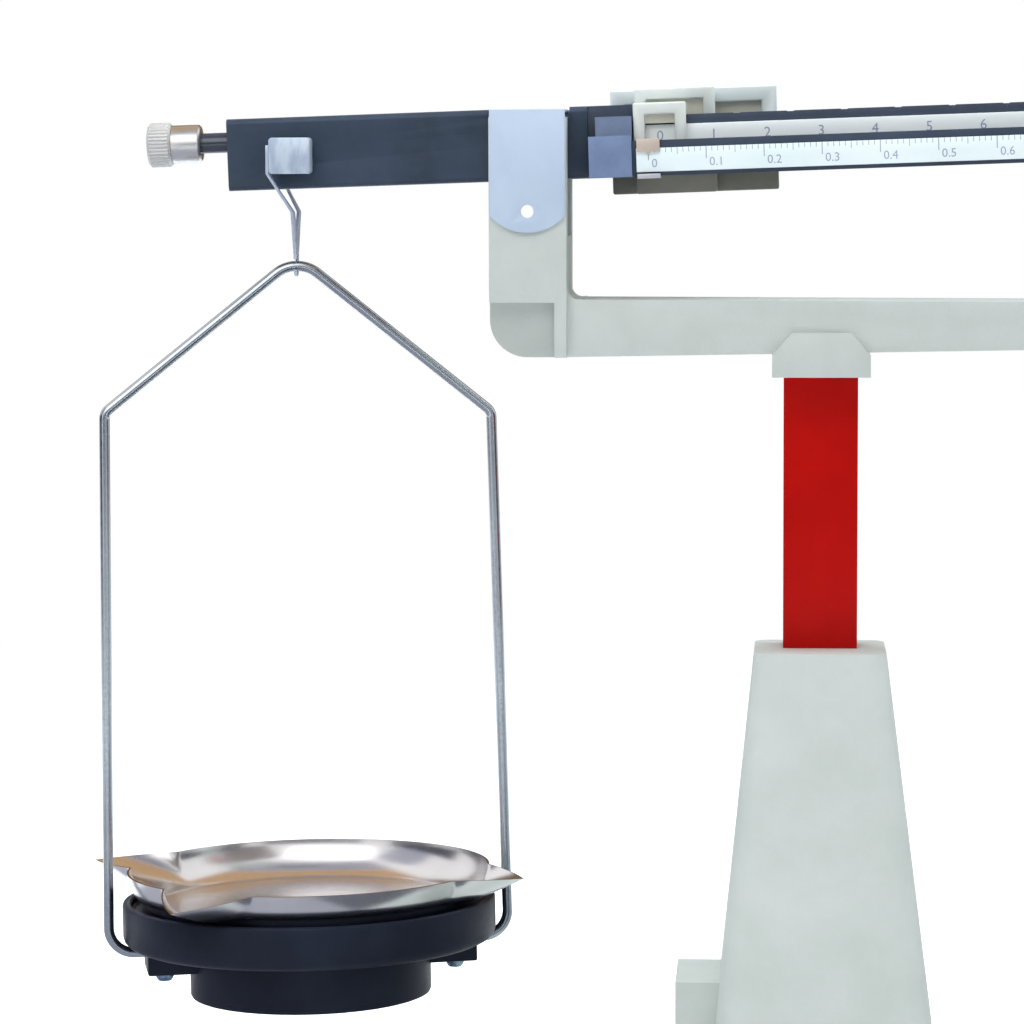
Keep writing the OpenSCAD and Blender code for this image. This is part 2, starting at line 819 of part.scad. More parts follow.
module bearing_cover() {
    inner_y = fork_d / 2 + seat_gap;
    color(steel)
    difference() {
        translate([fulcrum_x, 0, fulcrum_z])
            along_y(-inner_y - cover_t, inner_y + cover_t)
                cover_outline();
        span_box([fork_left - 5, -inner_y, fulcrum_z - cover_drop - 5],
            [fork_right + 5, inner_y, fulcrum_z + cover_rise - cover_t]);
        translate([fulcrum_x, 0, fulcrum_z - sight_drop]) {
            rotate([90, 0, 0])
                cylinder(h = fork_d, d = cover_hole_d);
            rotate([-90, 0, 0])
                cylinder(h = fork_d, d = cover_back_hole_d);
        }
    }
}

module index_plate() {
    margin = 1;
    plate_half = slot_half + 1.5;
    color(plate_white)
        span_box([post_x + margin, -post_d / 2 - index_t, fulcrum_z - plate_half],
            [post_right_x - margin, -post_d / 2, fulcrum_z + plate_half]);
}

// Two magnets face each other across the slot of the post
module at_magnets(grow) {
    for (side = [0, 1])
        mirror([0, side, 0])
            translate([post_x + post_w / 2, post_slot / 2, fulcrum_z])
                rotate([-90, 0, 0])
                    translate([0, 0, grow > 0 ? -1 : 0.2])
                        cylinder(h = magnet_t + (grow > 0 ? 1 : -0.2), d = magnet_d + 2 * grow);
}

module damper_magnets() {
    color([0.35, 0.35, 0.37])
        at_magnets(0);
}

/* Beam */

// Knife with its edge at the origin and its body above it
module knife_section() {
    shoulder = knife_h * 0.8;
    shoulder_half = shoulder * tan(knife_angle / 2);
    polygon([
        [0, 0], [shoulder_half, shoulder], [shoulder_half, knife_h],
        [-shoulder_half, knife_h], [-shoulder_half, shoulder]
    ]);
}

module rail(y, top) {
    rail_root = 3;
    span_box([head_rear_right - rail_root, y, top - rail_h], [rail_right + 1, y + rail_t, top]);
}

// Notches in the top edge of a beam, one for each position of its poise
module rail_notches(y, first_u, pitch, steps) {
    for (i = [0 : steps])
        translate([first_u + i * pitch, y - 1, rear_rail_top])
            rotate([0, 45, 0])
                translate([-notch_depth * 0.7, 0, -notch_depth * 0.7])
                    cube([notch_depth * 1.4, rail_t + 2, notch_depth * 1.4]);
}

module bar_head() {
    head_left = bar_right - 1;
    edge = 1;
    arm_extra = 4;
    step_1_y = rail_1_y - edge;
    step_2_y = rail_2_y - arm_extra;
    step_3_y = rail_2_y + rail_t + 1.4;
    step_4_y = rail_3_y + rail_t + arm_extra;
    step_5_y = rail_4_y + rail_t + edge;
    front_top = front_rail_top + 1.45;
    span_box([head_left, step_3_y, -bar_down], [head_right, step_4_y, bar_up]);
    span_box([head_left, step_4_y - eps, -bar_down], [head_rear_right, step_5_y, bar_up]);
    span_box([bar_right + 2.4, step_2_y, -bar_down], [head_right, step_3_y + eps, rear_rail_top]);
    span_box([head_left + 1.6, step_1_y, front_rail_low - 0.05],
        [head_right, step_2_y + eps, front_top]);
}

module beam_casting() {
    color(slate)
    on_beam()
        difference() {
            union() {
                along_x(-bar_left, bar_right)
                    translate([0, (bar_up - bar_down) / 2])
                        rounded_square(bar_t, bar_up + bar_down, bar_edge_r);
                bar_head();
                rail(rail_1_y, front_rail_top);
                rail(rail_2_y, rear_rail_top);
                rail(rail_3_y, rear_rail_top);
                rail(rail_4_y, rear_rail_top);
                span_box([rail_right, rail_1_y, front_rail_low],
                    [tie_right, rail_4_y + rail_t, rear_rail_top]);
            }
            span_box([-notch_half, -bar_t, notch_floor], [notch_half, bar_t, bar_up + 1]);
            along_y(-bar_t, bar_t)
                knife_section();
            along_y(-bar_t, bar_t)
                translate([-pan_arm, 0])
                    mirror([0, 1])
                        knife_section();
            translate([-bar_left - 1, 0, rod_up])
                rotate([0, 90, 0])
                    cylinder(h = rod_grip + 1, d = rod_d + 2 * seat_gap);
            rail_notches(rail_2_y, poise_10_u + notch_offset, notch_pitch, notch_steps);
            rail_notches(rail_3_y, poise_100_u + notch_offset, notch_pitch, notch_steps);
            rail_notches(rail_4_y, poise_200_u + notch_offset, notch_pitch * notch_steps / 2, 2);
        }
}

module fulcrum_knife() {
    color([0.62, 0.64, 0.68])
        on_beam()
            along_y(-fulcrum_knife_l / 2, fulcrum_knife_l / 2)
                knife_section();
}

module pan_knife() {
    color([0.62, 0.64, 0.68])
        on_beam()
            along_y(-pan_knife_l / 2, pan_knife_l / 2)
                translate([-pan_arm, 0])
                    mirror([0, 1])
                        knife_section();
}

// Scale plate on the front face of a beam, between a place beside the head and the tie
module scale_plate(left_u, y, plate_top) {
    right_margin = 3;
    color(plate_white)
        on_beam()
            span_box([left_u, y - plate_t, plate_top - plate_h],
                [rail_right - right_margin, y, plate_top]);
}

plate_left_margin = 0.4;
rear_plate_top = rear_rail_top - rear_plate_drop;

module front_scale_plate() {
    scale_plate(head_right + 3 * plate_left_margin, rail_1_y, front_rail_top - front_plate_drop);
}

module second_scale_plate() {
    scale_plate(head_right + plate_left_margin, rail_2_y, rear_plate_top);
}

module third_scale_plate() {
    scale_plate(head_right + plate_left_margin, rail_3_y, rear_plate_top);
}

module rear_scale_plate() {
    scale_plate(head_rear_right + plate_left_margin, rail_4_y, rear_plate_top);
}

module damper_vane() {
    vane_t = 1.5;
    color(zinc)
        on_beam()
            span_box([tie_right, -vane_t / 2, -vane_half], [vane_right, vane_t / 2, vane_half]);
}

module pointer() {
    foot_l = 1.5;
    pointer_y = -post_d / 2 - index_t - 1;
    pointer_t = 0.6;
    pointer_right = vane_right - 3;
    color([0.1, 0.1, 0.1])
        on_beam() {
            span_box([tie_right, pointer_y - 2, -2], [tie_right + foot_l, pointer_y, 2]);
            along_y(pointer_y - pointer_t, pointer_y)
                polygon([
                    [tie_right + foot_l - eps, -1.2], [pointer_right - 2, -0.7],
                    [pointer_right, 0], [pointer_right - 2, 0.7], [tie_right + foot_l - eps, 1.2]
                ]);
        }
}

/* Zero adjuster */

sleeve_right = -bar_left - sleeve_from_bar;
sleeve_left = sleeve_right - sleeve_l;
knob_left = sleeve_left - knob_l;
knob_end_wall = 1;
rod_left = knob_left + knob_end_wall + zero_travel + slide_gap;
spigot_d = rod_d + 2.4;

// Cylinder along the adjuster's axis between two places on the beam
module adjuster_cylinder(left_u, right_u, d) {
    translate([left_u, 0, rod_up])
        rotate([0, 90, 0])
            cylinder(h = right_u - left_u, d = d);
}

module zero_rod() {
    color([0.08, 0.09, 0.11])
        on_beam()
            adjuster_cylinder(rod_left, -bar_left + rod_grip - 0.5, rod_d);
}

module zero_sleeve() {
    bevel = 0.6;
    color(nickel)
        on_beam()
            difference() {
                union() {
                    adjuster_cylinder(sleeve_left, sleeve_right - bevel, sleeve_d);
                    translate([sleeve_right - bevel, 0, rod_up])
                        rotate([0, 90, 0])
                            cylinder(h = bevel, d1 = sleeve_d, d2 = sleeve_d - 2 * bevel);
                }
                adjuster_cylinder(sleeve_left - 1, sleeve_right + 1, rod_d + 2 * turn_gap);
                adjuster_cylinder(sleeve_left - 1, sleeve_left + spigot_l + seat_gap,
                    spigot_d + 2 * turn_gap);
            }
}

module zero_knob() {
    bevel = 0.7;
    groove_count = 36;
    groove_w = 0.44;
    color(nickel)
        on_beam()
            difference() {
                union() {
                    adjuster_cylinder(knob_left + bevel, sleeve_left - bevel - seat_gap, knob_d);
                    adjuster_cylinder(sleeve_left - bevel - seat_gap, sleeve_left + spigot_l,
                        spigot_d);
                    translate([knob_left, 0, rod_up])
                        rotate([0, 90, 0])
                            cylinder(h = bevel, d1 = knob_d - 2 * bevel, d2 = knob_d);
                    translate([sleeve_left - bevel - seat_gap, 0, rod_up])
                        rotate([0, 90, 0])
                            cylinder(h = bevel, d1 = knob_d, d2 = knob_d - 2 * bevel);
                }
                adjuster_cylinder(knob_left + knob_end_wall, sleeve_left + spigot_l + 1,
                    rod_d + 2 * turn_gap);
                for (i = [0 : groove_count - 1])
                    translate([knob_left - 1, 0, rod_up])
                        rotate([i * 360 / groove_count, 0, 0])
                            translate([0, 0, knob_d / 2])
                                rotate([45, 0, 0])
                                    translate([0, -groove_w / 2, -groove_w / 2])
                                        cube([knob_l + 2 - seat_gap, groove_w, groove_w]);
            }
}

/* Poises */

// Space that a beam and its scale plate sweep through a poise
module rail_tunnel(left_u, right_u, y) {
    span_box([left_u, y - plate_t - slide_gap, rear_rail_low - slide_gap],
        [right_u, y + rail_t + slide_gap, rear_rail_top + slide_gap]);
}

// Cover of a poise: a saddle around the beam, with a framed window onto the scale
module poise_cover(center_u, length, depth, y, top, low, frame) {
    front_y = y + rail_t / 2 - depth / 2;
    left_u = center_u - length / 2;
    right_u = center_u + length / 2;
    window_top = rear_plate_top + 0.35;
    window_low = rear_plate_top - plate_h;
    roller_z = rear_rail_top + seat_gap + roller_d / 2;
    difference() {
        span_box([left_u, front_y, low], [right_u, front_y + depth, top]);
        rail_tunnel(left_u - 1, right_u + 1, y);
        span_box([left_u + frame, front_y - 1, window_low],
            [right_u - frame, front_y + frame_step, top - frame]);
        span_box([left_u + frame, front_y - 1, window_low], [right_u - frame, y, window_top]);
        translate([center_u, y - plate_t - slide_gap, roller_z])
            rotate([-90, 0, 0])
                cylinder(h = rail_t + plate_t + 2 * slide_gap, d = roller_d + 2 * slide_gap);
        span_box([center_u - roller_d / 2 - slide_gap, y - plate_t - slide_gap, rear_rail_top],
            [center_u + roller_d / 2 + slide_gap, y + rail_t + slide_gap, roller_z]);
    }
}

module poise_weight(center_u, length, depth, y) {
    front_y = y + rail_t / 2 - depth / 2;
    span_box([center_u - length / 2, front_y, poise_low],
        [center_u + length / 2, front_y + depth, weight_top]);
}

// Roller across the top edge of a beam
module poise_roller(center_u, y) {
    color(steel)
        on_beam()
            translate([center_u, y - plate_t - slide_gap, rear_rail_top + seat_gap + roller_d / 2])
                rotate([-90, 0, 0])
                    cylinder(h = rail_t + plate_t + 2 * slide_gap, d = roller_d);
}

module poise_200_cover() {
    color(poise_beige)
        on_beam()
            poise_cover(poise_200_u, poise_200_l, poise_200_d, rail_4_y, poise_top, weight_top,
                frame_200_w);
}

module poise_200_weight() {
    color(weight_grey)
        on_beam()
            poise_weight(poise_200_u, poise_200_l, poise_200_d, rail_4_y);
}

module poise_200_roller() {
    poise_roller(poise_200_u, rail_4_y);
}

module poise_100_cover() {
    color(poise_beige)
        on_beam()
            poise_cover(poise_100_u, poise_100_l, poise_100_d, rail_3_y, poise_top, weight_top,
                frame_w);
}

module poise_100_weight() {
    color(weight_grey)
        on_beam()
            poise_weight(poise_100_u, poise_100_l, poise_100_d, rail_3_y);
}

module poise_100_roller() {
    poise_roller(poise_100_u, rail_3_y);
}

module poise_10_body() {
    color(poise_beige)
        on_beam()
            poise_cover(poise_10_u, poise_10_l, poise_10_d, rail_2_y, poise_10_top, poise_10_low,
                frame_w);
}

module poise_10_roller() {
    poise_roller(poise_10_u, rail_2_y);
}

// Sheet-metal clip that hangs on the top edge of the front beam and closes under it
module rider() {
    front_y = rail_1_y - plate_t - slide_gap;
    back_y = rail_1_y + rail_t + slide_gap;
    top = front_rail_top + seat_gap;
    low = front_rail_low - slide_gap;
    color([0.66, 0.55, 0.42])
        on_beam()
            translate([rider_u, 0, 0]) {
                span_box([-rider_w / 2, front_y - rider_t, top],
                    [rider_w / 2, back_y + rider_t, top + rider_t]);
                span_box([-rider_w / 2, back_y, low - rider_t],
                    [rider_w / 2, back_y + rider_t, top + eps]);
                span_box([-rider_w / 2, front_y - rider_t, low - rider_t],
                    [rider_w / 2, back_y + eps, low]);
                span_box([-rider_w / 2, front_y - rider_t, low - eps],
                    [rider_w / 2, front_y, low + rider_low_lip]);
                along_y(front_y - rider_t, front_y)
                    polygon([
                        [-rider_w / 2, top + eps], [-rider_w / 2, top - rider_lip],
                        [-rider_tip, top - rider_lip], [0, top - rider_lip - rider_tip],
                        [rider_tip, top - rider_lip], [rider_w / 2, top - rider_lip],
                        [rider_w / 2, top + eps]
                    ]);
            }
}

/* Stirrup */

cap_outer_y = cap_inner_y + cap_d;

// Strap seen from the front: down the left side of the caps, across under the bar, then straight down
module strap_profile() {
    lean_h = 10.2;
    side_x = -cap_w / 2 - strap_t;
    lean_z = -cap_down - lean_h;
    end_z = -hook_drop - strap_low_w / 2;
    polygon([
        [side_x, cap_up - 2], [side_x, -cap_down], [-strap_t / 2, lean_z], [-strap_t / 2, end_z],
        [strap_t / 2, end_z], [strap_t / 2, lean_z], [side_x + strap_t, -cap_down],
        [side_x + strap_t, cap_up - 2]
    ]);
}

// Strap seen from the side: two legs that meet above the hook for the bow
module strap_outline() {
    end_half = strap_low_w / 2;
    inner_top_y = cap_outer_y - strap_leg_w;
    inner_top_z = -cap_down - strap_leg_w;
    inner_low_z = -hook_drop + 8.5;
    difference() {
        union() {
            polygon([
                [-cap_outer_y, cap_up - 2], [-cap_outer_y, -cap_down],
                [-end_half, -hook_drop + end_half], [-end_half, -hook_drop],
                [end_half, -hook_drop], [end_half, -hook_drop + end_half],
                [cap_outer_y, -cap_down], [cap_outer_y, cap_up - 2]
            ]);
            translate([0, -hook_drop])
                circle(end_half);
        }
        polygon([
            [-inner_top_y, cap_up], [-inner_top_y, inner_top_z], [0, inner_low_z],
            [inner_top_y, inner_top_z], [inner_top_y, cap_up]
        ]);
        translate([0, -hook_drop])
            circle(d = hook_hole_d);
        translate([-end_half - 1, -hook_drop - hook_mouth_drop])
            square([end_half + 1, hook_mouth_drop + hook_hole_d / 2]);
    }
}

module stirrup_strap() {
    color(steel)
        translate([pan_x, 0, pan_knife_z])
            intersection() {
                along_y(-cap_outer_y - 1, cap_outer_y + 1)
                    strap_profile();
                along_x(-cap_w, cap_w)
                    strap_outline();
            }
}

// Cap over one end of the pan knife, with a groove that rests on the edge
module pan_bearing(side) {
    cap_r = 1;
    groove_h = 2.2;
    groove_half = groove_h * tan(groove_angle / 2);
    color(steel)
        translate([pan_x, 0, pan_knife_z])
            mirror([0, side < 0 ? 1 : 0, 0])
                difference() {
                    along_y(cap_inner_y, cap_outer_y)
                        translate([0, (cap_up - cap_down) / 2])
                            rounded_square(cap_w, cap_up + cap_down, cap_r);
                    along_y(cap_inner_y - 1, cap_outer_y - cap_wall)
                        polygon([
                            [0, knife_gap], [groove_half, knife_gap - groove_h],
                            [cap_w / 2 - cap_wall, knife_gap - groove_h],
                            [cap_w / 2 - cap_wall, -cap_down - 1],
                            [-cap_w / 2 + cap_wall, -cap_down - 1],
                            [-cap_w / 2 + cap_wall, knife_gap - groove_h],
                            [-groove_half, knife_gap - groove_h]
                        ]);
                }
}

module front_pan_bearing() {
    pan_bearing(-1);
}

module rear_pan_bearing() {
    pan_bearing(1);
}

/* Bow and pan support */

// Puts what is drawn upright around the Z axis on the leaning axis of the bow, at its own height
module hung() {
    translate([pan_x, 0, hook_z])
        rotate([0, -hang_lean, 0])
            translate([0, 0, -hook_z])
                children();
}

// Turns what is drawn around the leaning axis into the plane of the bow, and tips it about the wire's ends
module tipped() {
    hung()
        translate([0, 0, wire_low_z])
            rotate([0, 0, bow_turn])
                rotate([-support_tip, 0, 0])
                    translate([0, 0, -wire_low_z])
                        children();
}

// Half width between the legs at the dish
low_half = dish_r + leg_gap + wire_d / 2;

// Arc of the wire's axis in the X-Z plane, as points from one direction to another
function arc_points(center, r, from_angle, to_angle, steps) = [
    for (i = [0 : steps])
        let (a = from_angle + (to_angle - from_angle) * i / steps)
            center + r * [cos(a), sin(a)]
];

// Axis of one half of the bow, from the hanging point to its right lug, for one drop of the shoulder
function bow_half_axis(drop) =
    let (slope = atan2(drop, bow_half))
    let (top_center = [0, -top_bend_r])
    let (roof_start = top_center + top_bend_r * [sin(slope), cos(slope)])
    let (roof_x = bow_half - shoulder_bend_r * (1 - sin(slope)))
    let (roof_z = roof_start[1] - (roof_x - roof_start[0]) * tan(slope))
    let (shoulder_center = [bow_half - shoulder_bend_r, roof_z - shoulder_bend_r * cos(slope)])
    let (low_center = [low_half - low_bend_r, -bow_drop + low_bend_r])
    let (leg = low_center - shoulder_center)
    let (splay = atan2(leg[1], leg[0]) + acos((shoulder_bend_r - low_bend_r) / norm(leg)))
    concat(
        arc_points(top_center, top_bend_r, 90, 90 - slope, 4),
        arc_points(shoulder_center, shoulder_bend_r, 90 - slope, splay, 5),
        arc_points(low_center, low_bend_r, splay, -90, 8),
        [[lug_r - wire_grip, -bow_drop]]
    );

function mirrored(points) = [for (p = points) [-p[0], p[1]]];

function reversed(points) = [for (i = [len(points) - 1 : -1 : 0]) points[i]];

// The whole axis, from the left lug over the hanging point to the right lug
bow_axis = let (half = bow_half_axis(shoulder_drop + shoulder_uneven))
    concat(
        reversed(mirrored(bow_half_axis(shoulder_drop))),
        [for (i = [1 : len(half) - 1]) half[i]]
    );

wire_sides = 20;

// Ring of the wire's skin around one point of the axis, square to its direction there
function wire_ring(points, i) =
    let (before = points[max(i - 1, 0)])
    let (after = points[min(i + 1, len(points) - 1)])
    let (along = (after - before) / norm(after - before))
    let (across = [-along[1], along[0]])
    [
        for (k = [0 : wire_sides - 1])
            let (a = k * 360 / wire_sides)
                [
                    points[i][0] + across[0] * wire_d / 2 * cos(a),
                    wire_d / 2 * sin(a),
                    points[i][1] + across[1] * wire_d / 2 * cos(a)
                ]
    ];

module bow_wire() {
    count = len(bow_axis);
    skin = [for (i = [0 : count - 1]) each wire_ring(bow_axis, i)];
    walls = [
        for (i = [0 : count - 2], k = [0 : wire_sides - 1])
            let (n = (k + 1) % wire_sides)
                [
                    i * wire_sides + k, i * wire_sides + n,
                    (i + 1) * wire_sides + n, (i + 1) * wire_sides + k
                ]
    ];
    left_end = [for (k = [wire_sides - 1 : -1 : 0]) k];
    right_end = [for (k = [0 : wire_sides - 1]) (count - 1) * wire_sides + k];
    color(steel)
        hung()
            translate([0, 0, hook_z])
                rotate(bow_turn)
                    polyhedron(points = skin, faces = concat(walls, [left_end, right_end]));
}

module support_body() {
    under_slope = 1.5;
    wall_low_z = wire_low_z + wire_d / 2 + slide_gap;
    bend_r = low_half - low_bend_r;
    rotate_extrude()
        polygon([
            [0, drum_low_z], [drum_r, drum_low_z], [drum_r, wall_low_z - under_slope],
            [bend_r, wall_low_z], [dish_r, wall_low_z + dish_r - bend_r],
            [dish_r, dish_top_z], [dish_r - dish_rim_w, dish_top_z],
            [dish_r - dish_rim_w, dish_floor_z], [0, dish_floor_z]
        ]);
}

module pan_support() {
    cavity_top_z = dish_floor_z - drum_wall;
    color(black_plastic)
        tipped()
            difference() {
                union() {
                    support_body();
                    for (side = [0, 180])
                        rotate(side)
                            span_box([drum_r - 3, -lug_w / 2, wire_low_z - lug_down],
                                [lug_r, lug_w / 2, dish_floor_z - 1]);
                }
                translate([0, 0, drum_low_z - 1])
                    cylinder(h = cavity_top_z - drum_low_z + 1, r = drum_r - drum_wall);
                for (side = [0, 180])
                    rotate(side) {
                        translate([lug_r - wire_grip - seat_gap, 0, wire_low_z])
                            rotate([0, 90, 0])
                                cylinder(h = dish_r, d = wire_d + 2 * seat_gap);
                        translate([lug_screw_r, 0, wire_low_z - lug_down - 1])
                            cylinder(h = lug_down + 1, d = lug_screw_d + 2 * seat_gap);
                    }
            }
}

module support_ballast() {
    color([0.5, 0.5, 0.52])
        tipped()
            translate([0, 0, drum_low_z + drum_cover_t])
                cylinder(h = ballast_h, r = drum_r - drum_wall - seat_gap);
}

module support_cover() {
    color(black_plastic)
        tipped()
            translate([0, 0, drum_low_z])
                cylinder(h = drum_cover_t, r = drum_r - drum_wall - seat_gap);
}

module lug_screws() {
    stem_shown = 1;
    seat_z = wire_low_z - lug_down - stem_shown;
    color(zinc)
        tipped()
            for (side = [0, 180])
                rotate(side)
                    translate([lug_screw_r, 0, seat_z])
                        mirror([0, 0, 1])
                            pan_head_screw(lug_screw_d,
                                lug_down + stem_shown - wire_d / 2 - seat_gap);
}

/* Pan */

pan_facets = 144;
lips = [[150, left_lip_reach], [227.5, front_lip_reach], [332.5, right_lip_reach]];

// How far a pouring lip pushes the rim outwards at one direction
function lip_push(a) =
    max([
        for (lip = lips)
            let (off = abs(a - lip[0]))
                lip[1] * max(0, 1 - min(off, 360 - off) / lip_half_angle)
    ]);

// One ring of the pan: its reach beyond the radius is scaled by how high it lies
function pan_ring(r, z, share) = [
    for (i = [0 : pan_facets - 1])
        let (a = i * 360 / pan_facets)
            let (reach = r + share * lip_push(a))
                [reach * cos(a), reach * sin(a), z]
];

// Band of triangles between two rings that start at the given indices
function pan_band(first, second) = [
    for (i = [0 : pan_facets - 1])
        let (j = (i + 1) % pan_facets)
            for (face = [[first + i, second + i, second + j], [first + i, second + j, first + j]])
                face
];

module pan() {
    mid_r = pan_floor_r + (pan_r - pan_floor_r) * 0.62;
    mid_z = pan_h * 0.55;
    rings = [
        pan_ring(pan_floor_r, 0, 0), pan_ring(mid_r, mid_z, 0.15), pan_ring(pan_r, pan_h, 1),
        pan_ring(pan_r - pan_t * 1.4, pan_h, 1), pan_ring(mid_r - pan_t * 1.2, mid_z + pan_t * 0.5, 0.15),
        pan_ring(pan_floor_r - pan_t * 0.4, pan_t, 0)
    ];
    last = len(rings) * pan_facets;
    points = concat([for (ring = rings) each ring], [[0, 0, 0], [0, 0, pan_t]]);
    sides = [for (k = [0 : len(rings) - 2]) each pan_band(k * pan_facets, (k + 1) * pan_facets)];
    floor_low = [for (i = [0 : pan_facets - 1]) [i, (i + 1) % pan_facets, last]];
    floor_high = [
        for (i = [0 : pan_facets - 1])
            [last - pan_facets + (i + 1) % pan_facets, last - pan_facets + i, last + 1]
    ];
    color([0.78, 0.76, 0.72])
        tipped()
            translate([0, 0, pan_floor_z])
                polyhedron(points = points, faces = concat(sides, floor_low, floor_high));
}

base_housing();
bottom_plate();
rubber_feet();
base_screws();
column();
column_screws();
yoke();
yoke_screws();
front_bearing();
rear_bearing();
bearing_cover();
index_plate();
damper_magnets();
beam_casting();
fulcrum_knife();
pan_knife();
front_scale_plate();
second_scale_plate();
third_scale_plate();
rear_scale_plate();
damper_vane();
pointer();
zero_rod();
zero_sleeve();
zero_knob();
poise_200_cover();
poise_200_weight();
poise_200_roller();
poise_100_cover();
poise_100_weight();
poise_100_roller();
poise_10_body();
poise_10_roller();
rider();
stirrup_strap();
front_pan_bearing();
rear_pan_bearing();
bow_wire();
pan_support();
support_ballast();
support_cover();
lug_screws();
pan();
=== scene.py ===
# %% [markdown]
# # A beam balance with a hanging pan
#
# The object is a laboratory balance. Four parallel beams tip on a knife edge, a round pan hangs from
# their left end on a wire bow, and poises slide along their right end. The frame of plain solids is
# already there. This lesson gives it rounded castings, a bent wire, a pressed pan, printed scales and
# finishes, and then lights it. The pieces are written in millimetres and turned into metres once, the
# studio around them in metres, and colours as they are seen on a screen, from 0 to 255.

# %% Load the plain solids
import math

import bmesh
import bpy
from mathutils import Matrix, Vector


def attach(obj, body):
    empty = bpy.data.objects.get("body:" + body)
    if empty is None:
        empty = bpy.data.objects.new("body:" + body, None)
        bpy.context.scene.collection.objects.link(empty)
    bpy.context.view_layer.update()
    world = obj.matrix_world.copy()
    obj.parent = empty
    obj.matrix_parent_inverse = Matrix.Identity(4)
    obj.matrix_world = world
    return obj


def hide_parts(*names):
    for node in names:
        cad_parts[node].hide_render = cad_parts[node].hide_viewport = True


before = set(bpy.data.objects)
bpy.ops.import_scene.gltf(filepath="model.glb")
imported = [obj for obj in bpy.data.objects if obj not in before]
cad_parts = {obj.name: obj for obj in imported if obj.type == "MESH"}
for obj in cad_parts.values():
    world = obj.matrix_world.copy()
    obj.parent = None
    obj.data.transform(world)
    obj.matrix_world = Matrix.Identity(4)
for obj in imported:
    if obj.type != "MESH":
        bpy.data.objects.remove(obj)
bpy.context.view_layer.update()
MM = 0.001

# %% [markdown]
# ## The camera
#
# The photograph was taken from about a metre away, a little above the beam, with a long lens. A camera
# is placed by three directions: forwards, to its right and up. Turning the head left and down first,
# and tilting it last, keeps the three square to each other.

# %% Camera
EYE = Vector((7.7, -1000.0, 276.6)) * MM
LEFT, DOWN, ROLL = (math.radians(v) for v in (3.992, 5.308, -0.229))
LENS, SENSOR = 130.84, 36
NEAR, FAR = 0.05, 20

forward = Vector((-math.sin(LEFT) * math.cos(DOWN), math.cos(LEFT) * math.cos(DOWN), -math.sin(DOWN)))
right = forward.cross(Vector((0, 0, 1))).normalized()
up = right.cross(forward)
right, up = (right * math.cos(ROLL) + up * math.sin(ROLL),
             up * math.cos(ROLL) - right * math.sin(ROLL))

camera = bpy.data.objects.new("camera", bpy.data.cameras.new("camera"))
bpy.context.collection.objects.link(camera)
camera.data.sensor_width = SENSOR
camera.data.lens = LENS
camera.data.clip_start, camera.data.clip_end = NEAR, FAR
turn = Matrix((right, up, -forward)).transposed().to_4x4()
camera.matrix_world = Matrix.Translation(EYE) @ turn
bpy.context.scene.camera = camera
print("camera looks along", [round(v, 3) for v in forward])

# %% [markdown]
# ## Places that tilt and hang
#
# The beam rests tipped by 1.8 degrees about its knife edge, and the bow hangs from it with a slight
# lean. The pan's support is tipped a little about the ends of the wire. Each such place gets one
# matrix, so that a piece can be drawn level and then be moved there.

# %% Places
TILT, LEAN, BOW_TURN = (math.radians(v) for v in (1.8, 0.65, 13))
FULCRUM = Vector((-56.6, 0, 283))
PAN_ARM, STRAP_DROP = 63.6, 31
ON_BEAM = Matrix.Translation(FULCRUM) @ Matrix.Rotation(-TILT, 4, "Y")
PAN_KNIFE = ON_BEAM @ Vector((-PAN_ARM, 0, 0))
HOOK = PAN_KNIFE - Vector((0, 0, STRAP_DROP))
HUNG = Matrix.Translation(HOOK) @ Matrix.Rotation(-LEAN, 4, "Y")
IN_BOW = HUNG @ Matrix.Rotation(BOW_TURN, 4, "Z")
BOW_DROP = 185.8
SUPPORT_TIP = math.radians(1.5)
WIRE_END = Matrix.Translation((0, 0, -BOW_DROP))
TIPPED = IN_BOW @ WIRE_END @ Matrix.Rotation(-SUPPORT_TIP, 4, "X") @ WIRE_END.inverted()
print("the bow hangs at", [round(v, 2) for v in HOOK])

# %% [markdown]
# ## Making an object from a bmesh
#
# Every piece ends the same way: doubles merged, normals turned outwards, edges sharper than an angle
# kept crisp, a finish, a body to ride on and the plain nodes that it stands for. The place goes into
# the mesh, so each object sits at the origin and moves with its body.

# %% Finished pieces
SAME_POINT = 1e-6
CRISP = math.radians(32)
made = {}


def finish_piece(name, bm, body, material, stands_for=(), place=None):
    """Turns a bmesh in millimetres into an object in metres that rides on a body."""
    if place is not None:
        bm.transform(place)
    bm.transform(Matrix.Scale(MM, 4))
    bmesh.ops.remove_doubles(bm, verts=bm.verts, dist=SAME_POINT)
    bmesh.ops.recalc_face_normals(bm, faces=bm.faces)
    for face in bm.faces:
        face.smooth = True
    mesh = bpy.data.meshes.new(name)
    bm.to_mesh(mesh)
    bm.free()
    mesh.set_sharp_from_angle(angle=CRISP)
    mesh.materials.append(material)
    piece = bpy.data.objects.new(name, mesh)
    bpy.context.collection.objects.link(piece)
    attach(piece, body)
    if stands_for:
        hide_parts(*stands_for)
    made[name] = len(mesh.polygons)
    print(f"{name}: {len(mesh.polygons)} faces on {body}")


print("points closer than", SAME_POINT, "m are merged")

# %% [markdown]
# ## Shapes that come up again
#
# Most pieces are boxes and turned shapes. A box is a cube that is stretched between two corners and
# bevelled. A turned shape is half a section that is spun, and more steps make it rounder.

# %% Rounded edges and joined parts
EDGE_ANGLE = math.radians(28)


def soften(bm, width, segments=2):
    """Rounds every edge whose two faces meet at a clear angle."""
    edges = [e for e in bm.edges if len(e.link_faces) == 2 and e.calc_face_angle(0) > EDGE_ANGLE]
    bmesh.ops.bevel(bm, geom=edges, offset=width, offset_type="OFFSET", affect="EDGES",
                    segments=segments, profile=0.5, material=-1, clamp_overlap=True)


